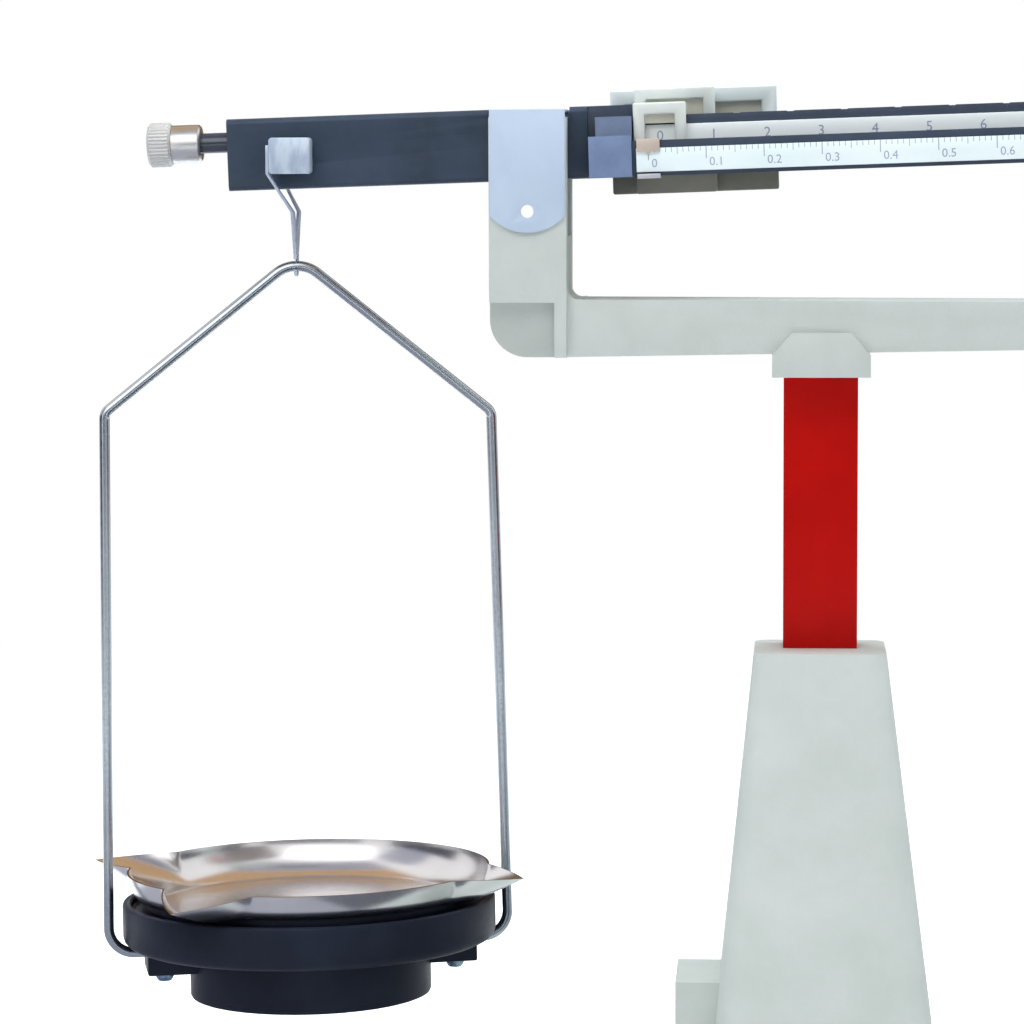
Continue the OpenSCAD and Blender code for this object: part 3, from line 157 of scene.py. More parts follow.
def join(whole, part, place=None):
    """Adds one bmesh to another, after moving it to its place."""
    if place is not None:
        part.transform(place)
    mesh = bpy.data.meshes.new("part")
    part.to_mesh(mesh)
    part.free()
    whole.from_mesh(mesh)
    bpy.data.meshes.remove(mesh)


print("edges are rounded from", round(math.degrees(EDGE_ANGLE)), "degrees")

# %% Blocks and turned shapes
SPIN_MERGE = 1e-4


def block(low, high, width=0.0, segments=2):
    """A box between two corners, with its edges rounded."""
    bm = bmesh.new()
    low, high = Vector(low), Vector(high)
    bmesh.ops.create_cube(bm, size=1)
    bm.transform(Matrix.Translation((low + high) / 2) @ Matrix.Diagonal((*(high - low), 1)))
    if width:
        soften(bm, width, segments)
    return bm


def spun(profile, steps):
    """Turns a half section of (radius, height) points around the Z axis."""
    bm = bmesh.new()
    points = [bm.verts.new((r, 0, z)) for r, z in profile]
    edges = [bm.edges.new(pair) for pair in zip(points, points[1:])]
    bmesh.ops.spin(bm, geom=points + edges, cent=(0, 0, 0), axis=(0, 0, 1), angle=math.tau,
                   steps=steps, use_merge=True)
    bmesh.ops.remove_doubles(bm, verts=bm.verts, dist=SPIN_MERGE)
    bmesh.ops.recalc_face_normals(bm, faces=bm.faces)
    return bm


print("points closer than", SPIN_MERGE, "mm are merged after a spin")

# %% [markdown]
# ## Finishes
#
# Paint, metal and plastic are the same shader with different numbers. What makes them look real is
# that nothing is even: a soft noise shifts the colour a little, another one the roughness, and a fine
# one the height of the surface. The noise reads Object coordinates, so it stays put on each piece.

# %% Colours and nodes
def linear(*rgb):
    """A screen colour, 0 to 255, turned into the linear numbers that a shader takes."""
    parts = [c / 255 for c in rgb]
    return [c / 12.92 if c <= 0.04045 else ((c + 0.055) / 1.055) ** 2.4 for c in parts] + [1]


def add(tree, kind, x, y, **values):
    """A node at a place in the editor, with numbers on its sockets or settings."""
    node = tree.nodes.new(kind)
    node.location = (x, y)
    for key, value in values.items():
        if key in node.inputs:
            node.inputs[key].default_value = value
        else:
            setattr(node, key, value)
    return node


def ramp(tree, x, y, *stops):
    """A colour ramp with a colour at each given position."""
    node = tree.nodes.new("ShaderNodeValToRGB")
    node.location = (x, y)
    while len(node.color_ramp.elements) < len(stops):
        node.color_ramp.elements.new(0.5)
    for element, (position, colour) in zip(node.color_ramp.elements, stops):
        element.position = position
        element.color = colour
    return node


print("a middle grey is", round(linear(128, 128, 128)[0], 3), "in a shader")

# %% The common finish
GLOSS_FROM, GLOSS_TO = 0.3, 0.7


def finish(name, dark, light, rough, metallic=0.0, cloud=40, grain=900, relief=0.15, depth=0.1,
           stretch=(1, 1, 1), spread=(0.35, 0.65), shine=0.5):
    """Paint, metal or plastic. cloud and grain are noise scales per metre, depth is in millimetres."""
    material = bpy.data.materials.new(name)
    material.use_nodes = True
    tree = material.node_tree
    shader = tree.nodes["Principled BSDF"]
    shader.inputs["Metallic"].default_value = metallic
    shader.inputs["Specular IOR Level"].default_value = shine
    where = add(tree, "ShaderNodeTexCoord", -1300, 0)
    drawn = add(tree, "ShaderNodeMapping", -1100, 0, Scale=stretch)
    soft = add(tree, "ShaderNodeTexNoise", -880, 200, Scale=cloud, Detail=4, Roughness=0.6)
    fine = add(tree, "ShaderNodeTexNoise", -880, -150, Scale=grain, Detail=3, Roughness=0.65)
    colour = ramp(tree, -600, 300, (spread[0], linear(*dark)), (spread[1], linear(*light)))
    gloss = ramp(tree, -600, 50, (GLOSS_FROM, [rough[0]] * 3 + [1]), (GLOSS_TO, [rough[1]] * 3 + [1]))
    bump = add(tree, "ShaderNodeBump", -300, -200, Strength=relief, Distance=depth * MM)
    link = tree.links.new
    link(where.outputs["Object"], drawn.inputs["Vector"])
    for noise in (soft, fine):
        link(drawn.outputs["Vector"], noise.inputs["Vector"])
    link(soft.outputs["Fac"], colour.inputs["Fac"])
    link(fine.outputs["Fac"], gloss.inputs["Fac"])
    link(fine.outputs["Fac"], bump.inputs["Height"])
    link(colour.outputs["Color"], shader.inputs["Base Color"])
    link(gloss.outputs["Color"], shader.inputs["Roughness"])
    link(bump.outputs["Normal"], shader.inputs["Normal"])
    return material


print("the finest noise turns into roughness between", GLOSS_FROM, "and", GLOSS_TO)

# %% [markdown]
# ## Enamels
#
# The castings wear a hard, slightly uneven enamel: pale grey-green on the frame, red on the column,
# slate on the beam, and a pale blue on the sheet cover. A clear gloss would mirror the whole studio,
# so the shine is turned down and a fine bump breaks up the rest. Some faces get a lighter or darker
# copy of their enamel for how light falls on them: painted shade in the recess under the yoke's pad,
# a painted sheen on the beam's head and painted light on the top of the sheet cover.

# %% Enamels of the frame and the beam
casting_enamel = finish("casting_enamel", (194, 201, 196), (203, 209, 205), (0.42, 0.6), grain=1100,
                        relief=0.4, depth=0.15, shine=0.35)
# A darker copy of the casting enamel: painted shade for the recess under the yoke's pad.
casting_painted_shade = finish("casting_painted_shade", (178, 185, 180), (187, 193, 188), (0.42, 0.6), grain=1100,
                       relief=0.4, depth=0.15, shine=0.35)
column_red = finish("column_red", (176, 10, 6), (190, 14, 8), (0.3, 0.42), grain=500, relief=0.08,
                    shine=0.1)
slate_enamel = finish("slate_enamel", (44, 56, 72), (56, 69, 88), (0.32, 0.46), grain=900, relief=0.2,
                      depth=0.12, shine=0.35)
# Lighter copies of the slate enamel: a painted sheen on the front faces of the beam's head and its
# lowest steps, where they catch the light.
slate_head_painted_sheen = finish("slate_head_painted_sheen", (108, 126, 160), (124, 143, 178), (0.32, 0.46), cloud=90, grain=900,
                     relief=0.2, depth=0.12, shine=0.35)
slate_step_painted_sheen = finish("slate_step_painted_sheen", (100, 115, 142), (116, 132, 162), (0.32, 0.46), cloud=90, grain=900,
                    relief=0.2, depth=0.12, shine=0.35)
cover_sheet = finish("cover_sheet", (184, 201, 222), (193, 209, 230), (0.28, 0.4), grain=700,
                     relief=0.05, shine=0.4)
# A near-white copy of the cover's blue: painted light on the top of the cover, which is lit from above.
cover_top_painted_light = finish("cover_top_painted_light", (222, 232, 243), (229, 239, 249), (0.28, 0.4), grain=700, relief=0.05,
                   shine=0.4)
print("enamels:", len(bpy.data.materials))

# %% [markdown]
# ## Paint, print and mouldings
#
# The scale plates are white with a pale grey-blue print, and the second plate a brighter white as
# painted light, because it lies in the front beam's shade. The poises are a warm white, and the 200 g
# poise a cooler white that is made lighter as painted light. Their windows are a darker beige, painted
# shade of the recess, and the weights under them a dark grey, painted shade under the beams. The
# support is a black moulding and the feet are rubber. All of them are the common finish again: only
# the colour, the roughness and the grain change.

# %% Paint, print and mouldings
scale_white = finish("scale_white", (232, 246, 248), (240, 251, 253), (0.3, 0.42), grain=800,
                     relief=0.04)
# A brighter white: painted light for the second plate, which lies in the front beam's shade.
scale_painted_light = finish("scale_painted_light", (246, 254, 255), (250, 255, 255), (0.3, 0.42), grain=800,
                      relief=0.04)
mark_ink = finish("mark_ink", (156, 163, 186), (170, 177, 200), (0.45, 0.6), grain=900, relief=0.05)
poise_enamel = finish("poise_enamel", (218, 224, 220), (226, 232, 228), (0.3, 0.44), grain=1000,
                      relief=0.15)
# A cooler white for the 200 g poise, made lighter as painted light for the shade it lies in behind the
# beams.
poise_cool_painted_light = finish("poise_cool_painted_light", (228, 238, 239), (235, 244, 245), (0.3, 0.44),
                           grain=1000, relief=0.15)
# Darker beiges for the windows' recesses: painted shade, deepest in the 200 g poise's window.
recess_painted_shade = finish("recess_painted_shade", (204, 203, 188), (214, 213, 200), (0.35, 0.5), grain=1000,
                       relief=0.2)
recess_painted_deep_shade = finish("recess_painted_deep_shade", (182, 181, 168), (192, 190, 178), (0.35, 0.5),
                            grain=1000, relief=0.2)
# A dark grey for the weights under the poises: painted shade, where they hang below the beams.
weight_painted_shade = finish("weight_painted_shade", (104, 102, 94), (118, 116, 106), (0.35, 0.5), grain=1000,
                       relief=0.2)
black_moulding = finish("black_moulding", (27, 31, 43), (35, 40, 54), (0.34, 0.46), grain=1500,
                        relief=0.1, shine=0.08)
foot_rubber = finish("foot_rubber", (20, 20, 21), (30, 30, 31), (0.7, 0.85), grain=1400, relief=0.4)
pointer_paint = finish("pointer_paint", (16, 16, 17), (26, 26, 27), (0.35, 0.5), relief=0.1)
print("finishes so far:", len(bpy.data.materials))

# %% [markdown]
# ## Metals
#
# Bare metal has no paint colour: what is seen is the studio, tinted. So these finishes are metallic,
# and their roughness does the work. Pan and wire are bright, and knives and rollers are ground with a
# grain that runs one way. Plated sheets, magnets and raw iron are only partly metallic, and the
# blackened rod isn't, because its oxide hides the metal.

# %% Metals
bright_wire = finish("bright_wire", (176, 182, 189), (192, 198, 205), (0.16, 0.24), 1.0, grain=900,
                     relief=0.02)
pan_steel = finish("pan_steel", (222, 220, 221), (234, 232, 233), (0.2, 0.26), 1.0, cloud=30,
                   grain=1800, relief=0.03, depth=0.05)
strap_plate = finish("strap_plate", (176, 186, 206), (198, 208, 228), (0.3, 0.44), 0.3, cloud=160,
                     grain=900, relief=0.1)
stirrup_plate = finish("stirrup_plate", (168, 182, 202), (194, 206, 222), (0.3, 0.46), 0.3, cloud=300,
                       stretch=(1, 1, 0.3), grain=900, relief=0.2, spread=(0.42, 0.58))
zinc_plate = finish("zinc_plate", (84, 112, 142), (176, 196, 214), (0.2, 0.34), 1.0, cloud=260,
                    grain=1200, relief=0.1)
nickel = finish("nickel", (216, 216, 213), (229, 229, 227), (0.28, 0.4), 1.0, grain=1400, relief=0.05,
                depth=0.04)
knurled_nickel = finish("knurled_nickel", (206, 206, 204), (222, 222, 220), (0.5, 0.62), 0.6,
                        grain=1400, relief=0.05, depth=0.04)
black_oxide = finish("black_oxide", (34, 42, 58), (48, 57, 74), (0.16, 0.24), 0.0, grain=1000,
                     relief=0.05, shine=0.9)
ground_steel = finish("ground_steel", (150, 152, 156), (176, 178, 182), (0.24, 0.36), 1.0,
                      stretch=(1, 8, 1), grain=500, relief=0.12)
magnet_grey = finish("magnet_grey", (92, 92, 96), (112, 112, 116), (0.4, 0.55), 0.6, grain=1300,
                     relief=0.2)
bronzed_sheet = finish("bronzed_sheet", (194, 178, 166), (212, 198, 188), (0.3, 0.44), 0.2, grain=900,
                       relief=0.1)
# A grey copy of the rider's bronzed sheet: painted shade on its lower clip under the rail.
rider_painted_shade = finish("rider_painted_shade", (186, 186, 196), (200, 200, 209), (0.3, 0.44), 0.3, grain=900,
                     relief=0.1)
raw_iron = finish("raw_iron", (104, 104, 106), (128, 126, 124), (0.5, 0.7), 0.7, grain=900, relief=0.4)
print("finishes:", len(bpy.data.materials))

# %% [markdown]
# ## Dressing a plain solid
#
# Many pieces are already the right shape, but their edges are knife sharp. A copy of the solid is
# merged, its flat faces are joined again, and its edges are rounded. Real edges always catch a line
# of light, so this small step does more for the picture than any texture.

# %% Dressed copies
FLAT = math.radians(0.5)


def dressed(node, body, material, width):
    """A copy of a plain solid with rounded edges, in millimetres of width, that stands for it."""
    bm = bmesh.new()
    bm.from_mesh(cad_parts[node].data)
    bmesh.ops.remove_doubles(bm, verts=bm.verts, dist=2 * SAME_POINT)
    bmesh.ops.dissolve_limit(bm, angle_limit=FLAT, verts=bm.verts, edges=bm.edges)
    bm.transform(Matrix.Scale(1 / MM, 4))
    soften(bm, width)
    finish_piece(node + "_dressed", bm, body, material, [node])


print("faces within", round(math.degrees(FLAT), 1), "degrees of each other are joined")

# %% Pieces of the frame
for node, material, slot, width in [
    ("base_housing", casting_enamel, "casting_enamel", 0.8),
    ("bottom_plate", zinc_plate, "sheet_zinc", 0.2),
    ("rubber_feet", foot_rubber, "foot_rubber", 0.4),
    ("base_screws", zinc_plate, "screw_zinc", 0.1),
    ("column", column_red, "column_red", 1.0),
    ("column_screws", zinc_plate, "screw_zinc", 0.15),
    ("yoke", casting_enamel, "casting_enamel", 1.0),
    ("yoke_screws", zinc_plate, "screw_zinc", 0.15),
    ("front_bearing", ground_steel, "bearing_steel", 0.2),
    ("rear_bearing", ground_steel, "bearing_steel", 0.2),
    ("bearing_cover", cover_sheet, "cover_sheet", 0.35),
    ("index_plate", scale_white, "index_white", 0.15),
    ("damper_magnets", magnet_grey, "magnet_grey", 0.3),
]:
    dressed(node, "base", material, width)

# %% Pieces of the beam
for node, material, slot, width in [
    ("beam_casting", slate_enamel, "beam_enamel", 0.6),
    ("fulcrum_knife", ground_steel, "bearing_steel", 0.1),
    ("pan_knife", ground_steel, "bearing_steel", 0.1),
    ("front_scale_plate", scale_white, "scale_white", 0.12),
    # The second plate gets the brighter white as painted light, for the shade of the front beam.
    ("second_scale_plate", scale_painted_light, "scale_white", 0.12),
    ("third_scale_plate", scale_white, "scale_white", 0.12),
    ("rear_scale_plate", scale_white, "scale_white", 0.12),
    ("damper_vane", ground_steel, "vane_aluminium", 0.2),
    ("pointer", pointer_paint, "pointer_black", 0.1),
    ("zero_rod", black_oxide, "rod_dark", 0.3),
]:
    dressed(node, "beam", material, width)

# %% [markdown]
# ## Painted light and shade on some faces
#
# Some faces of a piece look different from their neighbours although the enamel is the same: they
# lean, or they lie in a recess, so light falls on them differently. That light and shade is painted
# into a second material: painted shade on the step under the yoke's pad, a painted sheen in a lighter
# slate on the lowest steps of the beam's head, and painted light, nearly white, on the top of the sheet
# cover. A second material on those faces is simpler than a mask, because the faces already end at the
# right edges.

# %% Faces with painted light and shade
FRONT, UP, LEVEL = Vector((0, -1, 0)), Vector((0, 0, 1)), Matrix.Identity(4)
TOWARDS = 0.6


def shade(node, place, low, high, material, looks=None):
    """Another finish, which paints light or shade, for faces between two corners, or only for those
    that look one way.
    """
    mesh = bpy.data.objects[node + "_dressed"].data
    mesh.materials.append(material)
    into, number = place.inverted(), 0
    for face in mesh.polygons:
        spot = into @ (face.center / MM)
        if looks and face.normal.dot(looks) < TOWARDS:
            continue
        if all(a < v < b for a, v, b in zip(low, spot, high)):
            face.material_index = len(mesh.materials) - 1
            number += 1
    print(f"{number} faces of {node} are {material.name}")


# Painted shade under the yoke's pad, painted sheen on the beam's head, painted light on the cover's
# top.
shade("yoke", LEVEL, (-67, -20, 215), (-45.4, 0, 240.5), casting_painted_shade, FRONT)
shade("beam_casting", ON_BEAM, (15, -19, -12), (28, -11.6, 2), slate_head_painted_sheen, FRONT)
shade("beam_casting", ON_BEAM, (17, -11.6, -12), (28, -5, 6), slate_step_painted_sheen, FRONT)
shade("bearing_cover", LEVEL, (-90, -30, 270), (-20, 30, 300), cover_top_painted_light, UP)

# %% [markdown]
# ## Poises, adjuster and stirrup
#
# These are the small moving pieces: three poises that roll along the beams, the rider, the knurled
# zero adjuster, and the stirrup on the pan's knife edge. Their solids already have the right shape, so
# they are dressed like the castings, with narrower edges, and ride on bodies of their own.

# %% Small pieces
for node, body, material, slot, width in [
    ("zero_sleeve", "adjuster_sleeve", nickel, "adjuster_nickel", 0.15),
    ("zero_knob", "adjuster_knob", knurled_nickel, "adjuster_nickel", 0.1),
    # The 200 g poise's cover is a cooler white with painted light in it.
    ("poise_200_cover", "poise_200", poise_cool_painted_light, "poise_beige", 0.5),
    # The weights' dark grey is painted shade below the beams.
    ("poise_200_weight", "poise_200", weight_painted_shade, "weight_grey", 0.5),
    ("poise_200_roller", "poise_200", ground_steel, "roller_steel", 0.2),
    ("poise_100_cover", "poise_100", poise_enamel, "poise_beige", 0.5),
    ("poise_100_weight", "poise_100", weight_painted_shade, "weight_grey", 0.5),
    ("poise_100_roller", "poise_100", ground_steel, "roller_steel", 0.2),
    ("poise_10_body", "poise_10", poise_enamel, "small_poise_beige", 0.4),
    ("poise_10_roller", "poise_10", ground_steel, "roller_steel", 0.2),
    ("rider", "rider_clip", bronzed_sheet, "rider_steel", 0.08),
    ("stirrup_strap", "stirrup", strap_plate, "stirrup_steel", 0.15),
    ("front_pan_bearing", "stirrup", stirrup_plate, "stirrup_steel", 0.4),
    ("rear_pan_bearing", "stirrup", stirrup_plate, "stirrup_steel", 0.4),
    ("support_ballast", "bow", raw_iron, "ballast_iron", 0.2),
    ("support_cover", "bow", black_moulding, "support_black", 0.3),
    ("lug_screws", "bow", zinc_plate, "screw_zinc", 0.12),
]:
    dressed(node, body, material, width)
# Painted shade: the rider's lower clip gets a grey copy of its sheet.
shade("rider", ON_BEAM, (20, -30, -30), (45, 10, -8), rider_painted_shade)

# %% [markdown]
# ## The wire bow
#
# The bow is one bright steel wire, bent at the top, the shoulders and the bottom. A curve with a round
# bevel is the natural tool: it only needs the line that the middle of the wire follows. The legs splay
# a little, so each shoulder bend ends a bit before it points straight down.

# %% Bow
WIRE_R = 1.4
TOP_BEND, SHOULDER_BEND, LOW_BEND = 9, 3.5, 7
TOP_STEPS, SHOULDER_STEPS, LOW_STEPS = 10, 12, 16
SHOULDER_HALF, LEFT_DROP, RIGHT_DROP = 52.6, 40.9, 43.3
LOW_HALF = 54.9
LUG_R, WIRE_GRIP = 45, 8
UPWARD = math.pi / 2


def arc(cx, cz, r, start, end, steps):
    """Points on a part of a circle, both ends included."""
    angles = [start + (end - start) * i / steps for i in range(steps + 1)]
    return [(cx + r * math.cos(a), cz + r * math.sin(a)) for a in angles]


def half_bow(drop):
    """The line from the top over a shoulder that lies a given drop below it, down to its lug."""
    slope = math.atan2(drop, SHOULDER_HALF)
    roof_x = SHOULDER_HALF - SHOULDER_BEND * (1 - math.sin(slope))
    roof_run = roof_x - TOP_BEND * math.sin(slope)
    roof_z = -TOP_BEND * (1 - math.cos(slope)) - roof_run * math.tan(slope)
    shoulder = (SHOULDER_HALF - SHOULDER_BEND, roof_z - SHOULDER_BEND * math.cos(slope))
    low = (LOW_HALF - LOW_BEND, LOW_BEND - BOW_DROP)
    leg = Vector((low[0] - shoulder[0], low[1] - shoulder[1]))
    splay = math.atan2(leg.y, leg.x) + math.acos((SHOULDER_BEND - LOW_BEND) / leg.length)
    return (arc(0, -TOP_BEND, TOP_BEND, UPWARD, UPWARD - slope, TOP_STEPS)
            + arc(*shoulder, SHOULDER_BEND, UPWARD - slope, splay, SHOULDER_STEPS)
            + arc(*low, LOW_BEND, splay, -UPWARD, LOW_STEPS) + [(LUG_R - WIRE_GRIP, -BOW_DROP)])


wire_line = [(-x, z) for x, z in reversed(half_bow(LEFT_DROP))] + half_bow(RIGHT_DROP)[1:]
print("the wire's middle line has", len(wire_line), "points")

# %% The line becomes a wire
curve = bpy.data.curves.new("bow_line", "CURVE")
curve.dimensions = "3D"
curve.bevel_depth = WIRE_R
curve.bevel_resolution = 8
curve.use_fill_caps = True
spline = curve.splines.new("POLY")
spline.points.add(len(wire_line) - 1)
for point, (x, z) in zip(spline.points, wire_line):
    point.co = (x, 0, z, 1)
wire_object = bpy.data.objects.new("bow_line", curve)
bm = bmesh.new()
wire_mesh = bpy.data.meshes.new_from_object(wire_object)
bm.from_mesh(wire_mesh)
bpy.data.objects.remove(wire_object)
bpy.data.meshes.remove(wire_mesh)
finish_piece("bow_of_wire", bm, "bow", bright_wire, ["bow_wire"], IN_BOW)

# %% [markdown]
# ## The pan's black support
#
# A moulding turned on its axis: a drum, a wider dish with a rim, and two lugs that take the wire. The
# half section is drawn once and spun, and the lugs are rounded blocks that run into it.

# %% Pan support
WIRE_Z = -BOW_DROP
DISH_R, DISH_UP, DISH_DEPTH, DISH_RIM = 51, 13.4, 2.4, 2.5
DRUM_R, DRUM_DOWN, DRUM_WALL = 33, 13.2, 3
LUG_DOWN, LUG_W, LUG_EDGE, LUG_IN, LUG_UNDER = 5.2, 18, 0.5, 2.5, 1
UNDER_WIRE, SUPPORT_STEPS = 0.3, 128
dish_top = WIRE_Z + DISH_UP
dish_floor = dish_top - DISH_DEPTH
rim_inside = DISH_R - DISH_RIM
drum_low = WIRE_Z - DRUM_DOWN
under = WIRE_Z + WIRE_R + UNDER_WIRE
support = spun([
    # the dish's floor and the inside of its rim
    (0, dish_floor), (rim_inside - 0.8, dish_floor), (rim_inside, dish_floor + 0.5),
    # over the rounded rim
    (rim_inside + 0.1, dish_top - 0.5), (rim_inside + 0.5, dish_top - 0.08),
    (rim_inside + 1, dish_top), (DISH_R - 0.9, dish_top), (DISH_R - 0.3, dish_top - 0.25),
    # down the outside of the dish and round its lower edge
    (DISH_R, dish_top - 0.9), (DISH_R, under + 2.6), (DISH_R - 0.3, under + 1.5),
    (DISH_R - 1.1, under + 0.6), (DISH_R - 2.3, under),
    # into the drum, down its side and round its foot
    (DRUM_R + 2, under - 0.9), (DRUM_R + 0.4, under - 1.2), (DRUM_R, under - 1.8),
    (DRUM_R, drum_low + 0.9), (DRUM_R - 0.3, drum_low + 0.25), (DRUM_R - 0.9, drum_low),
    # up the hollow of the drum to its middle
    (DRUM_R - DRUM_WALL, drum_low), (DRUM_R - DRUM_WALL, dish_floor - DRUM_WALL),
    (0, dish_floor - DRUM_WALL),
], SUPPORT_STEPS)
for side in (0, math.pi):
    lug = block((DRUM_R - LUG_IN, -LUG_W / 2, WIRE_Z - LUG_DOWN),
                (LUG_R, LUG_W / 2, dish_floor - LUG_UNDER), LUG_EDGE)
    join(support, lug, Matrix.Rotation(side, 4, "Z"))
finish_piece("support_moulding", support, "bow", black_moulding, ["pan_support"],
             TIPPED)

# %% [markdown]
# ## The pan
#
# A thin polished sheet, pressed into a shallow bowl with three pouring lips. Its section is spun, and
# then every point near a lip is pushed outwards and a little down, the more the higher it lies, which
# makes a straight channel. Solidify would round the lips, so the sheet is drawn with both of its faces.

# %% Pan
PAN_R, PAN_H, SHEET = 49.6, 10.4, 0.6
PAN_FLOOR_R, RING_R = 41.8, 20
WALL_STEPS, WALL_LEAN, WALL_RISE = 18, 1.6, 1.5
LIPS = [(150, 16, 0.6), (230, 14.4, 3.0), (332.5, 12.6, 1.2)]  # angle, reach, sag
LIP_HALF, LIP_LOW, LIP_CURVE = 17, 0.15, 1.15
PAN_GAP, PAN_STEPS = 0.05, 288
pan_z = dish_floor + PAN_GAP


def lip_push(angle):
    """How far the rim is pushed out in one direction, and how far it sags there."""
    gap, reach, sag = min((abs(math.remainder(angle - lip, 360)), reach, sag)
                          for lip, reach, sag in LIPS)
    share = max(0.0, 1 - gap / LIP_HALF)
    return reach * share, sag * share


def wall(t):
    """A point of the wall's outer face, which is steeper from the floor at 0 to the rim at 1."""
    return PAN_FLOOR_R + (PAN_R - PAN_FLOOR_R) * (1 - (1 - t) ** WALL_LEAN), PAN_H * t ** WALL_RISE


outer = [wall(i / WALL_STEPS) for i in range(WALL_STEPS + 1)]
inner = []
for (r, z), (before_r, before_z) in zip(outer[:0:-1], outer[-2::-1]):
    rise = Vector((r - before_r, z - before_z)).normalized()
    inner.append((r - SHEET * rise.y, max(z + SHEET * rise.x, SHEET)))
floor_in = [(PAN_FLOOR_R - 1, SHEET), (RING_R, SHEET), (0, SHEET)]
section = [(0, 0), (RING_R, 0)] + outer + inner + floor_in
print("the pan's half section has", len(section), "points")

# %% The bowl and its lips
bowl = spun(section, PAN_STEPS)
for vert in bowl.verts:
    height = max(0.0, vert.co.z / PAN_H - LIP_LOW) / (1 - LIP_LOW)
    radius = math.hypot(vert.co.x, vert.co.y)
    if radius > PAN_FLOOR_R and height > 0:
        push, sag = lip_push(math.degrees(math.atan2(vert.co.y, vert.co.x)))
        vert.co.x *= 1 + push * height ** LIP_CURVE / radius
        vert.co.y *= 1 + push * height ** LIP_CURVE / radius
        vert.co.z -= sag * height
finish_piece("pressed_pan", bowl, "weighing_pan", pan_steel, ["pan"],
             TIPPED @ Matrix.Translation((0, 0, pan_z)))

# %% [markdown]
# ## Printed scales
#
# Each beam carries a white plate with lines and plain numbers. Print has almost no thickness, so every
# line is a block only a few hundredths of a millimetre proud of the plate, and the numbers are text
# turned into mesh and laid on it the same way.

# %% Lines and numbers
PRINT = 0.03


def stroke(marks, u, v, width, height, face_y):
    """One printed line, centred on u and v in the coordinates of the beam."""
    join(marks, block((u - width / 2, face_y - PRINT, v - height / 2),
                      (u + width / 2, face_y + PRINT, v + height / 2)))


def number(marks, text, u, v, size, face_y, align="CENTER"):
    """A number that stands on the face, drawn from the built-in font."""
    words = bpy.data.curves.new("number", "FONT")
    words.body = text
    words.size = size
    words.align_x = align
    words.align_y = "CENTER"
    words.extrude = PRINT
    words.resolution_u = 3
    holder = bpy.data.objects.new("number", words)
    mesh = bpy.data.meshes.new_from_object(holder)
    part = bmesh.new()
    part.from_mesh(mesh)
    bpy.data.objects.remove(holder)
    bpy.data.meshes.remove(mesh)
    join(marks, part, Matrix.Translation((u, face_y, v)) @ Matrix.Rotation(math.pi / 2, 4, "X"))


print("the print stands", PRINT, "mm proud")

# %% The front scale, in tenths
RAIL_Y = {"front": -17, "second": -7.4, "third": 4.6, "rear": 18.4}
PLATE_T, FRONT_PLATE_TOP = 0.6, -2.8
FRONT_ZERO, FRONT_PITCH = 31.9, 15.18
LONG, HALF_WAY, SHORT = (3.2, 0.24), (1.8, 0.18), (1.2, 0.18)  # length and width of a line
LABEL_ASIDE, LABEL_DOWN, LABEL_SIZE = 0.75, 4.1, 3.2
marks = bmesh.new()
face_y = RAIL_Y["front"] - PLATE_T
for i in range(101):
    length, width = LONG if i % 10 == 0 else HALF_WAY if i % 5 == 0 else SHORT
    stroke(marks, FRONT_ZERO + i * FRONT_PITCH / 10, FRONT_PLATE_TOP - length / 2, width,
           length, face_y)
for i in range(11):
    label = "0" if i == 0 else "1" if i == 10 else f"0.{i}"
    number(marks, label, FRONT_ZERO + i * FRONT_PITCH + LABEL_ASIDE, FRONT_PLATE_TOP - LABEL_DOWN,
           LABEL_SIZE, face_y, "LEFT")
finish_piece("front_scale_print", marks, "beam", mark_ink, place=ON_BEAM)

# %% The notched scales
NOTCH_PITCH = 14.2
NUMBER_UP, NUMBER_SIZE = 0.3, 3.8
for name, first, pitch, step, count in [("second", 34.9, NOTCH_PITCH, 1, 11),
                                        ("third", 38.7, NOTCH_PITCH, 10, 11),
                                        ("rear", 43.5, 5 * NOTCH_PITCH, 100, 3)]:
    marks = bmesh.new()
    for i in range(count):
        number(marks, str(step * i), first + i * pitch, NUMBER_UP, NUMBER_SIZE,
               RAIL_Y[name] - PLATE_T)
    finish_piece(name + "_scale_print", marks, "beam", mark_ink, place=ON_BEAM)

# %% [markdown]
# ## The windows of the poises
#
# Above the scale, each window looks onto the recessed front of its poise, painted darker than the
# frame as painted shade of the recess, darkest in the 200 g poise. A thin panel on the floor of the
# recess carries that painted shade.

# %% Window panels
# The finish in each row is painted shade of the recess behind the window.
POISES = {  # centre and length along the beam, beam, depth, top, width of the frame, finish
    "poise_200": (43.5, 45.0, "rear", 12.3, 13.2, 4.0, recess_painted_deep_shade),
    "poise_100": (38.7, 21.4, "third", 12.8, 13.2, 3.0, recess_painted_shade),
    "poise_10": (34.9, 14.0, "second", 9.5, 9.2, 3.0, recess_painted_shade),
}
RAIL_T, FRAME_STEP, OTHER_PLATE_TOP = 3, 1.6, 3.35
FIT, ABOVE_PLATE, PANEL_IN, PANEL_OUT = 0.05, 0.4, 0.15, 0.02
for name, (centre, length, rail, depth, top, frame_w, material) in POISES.items():
    recess_y = RAIL_Y[rail] + RAIL_T / 2 - depth / 2 + FRAME_STEP
    half = length / 2 - frame_w - FIT
    panel = block((centre - half, recess_y - PANEL_IN, OTHER_PLATE_TOP + ABOVE_PLATE),
                  (centre + half, recess_y + PANEL_OUT, top - frame_w - FIT), FIT, 1)
    finish_piece(name + "_window_panel", panel, name, material, place=ON_BEAM)

# %% [markdown]
# ## The index plate
#
# At the right end the pointer plays over a small white plate with a few lines: a long one in the
# middle, for balance, and shorter ones above and below it.

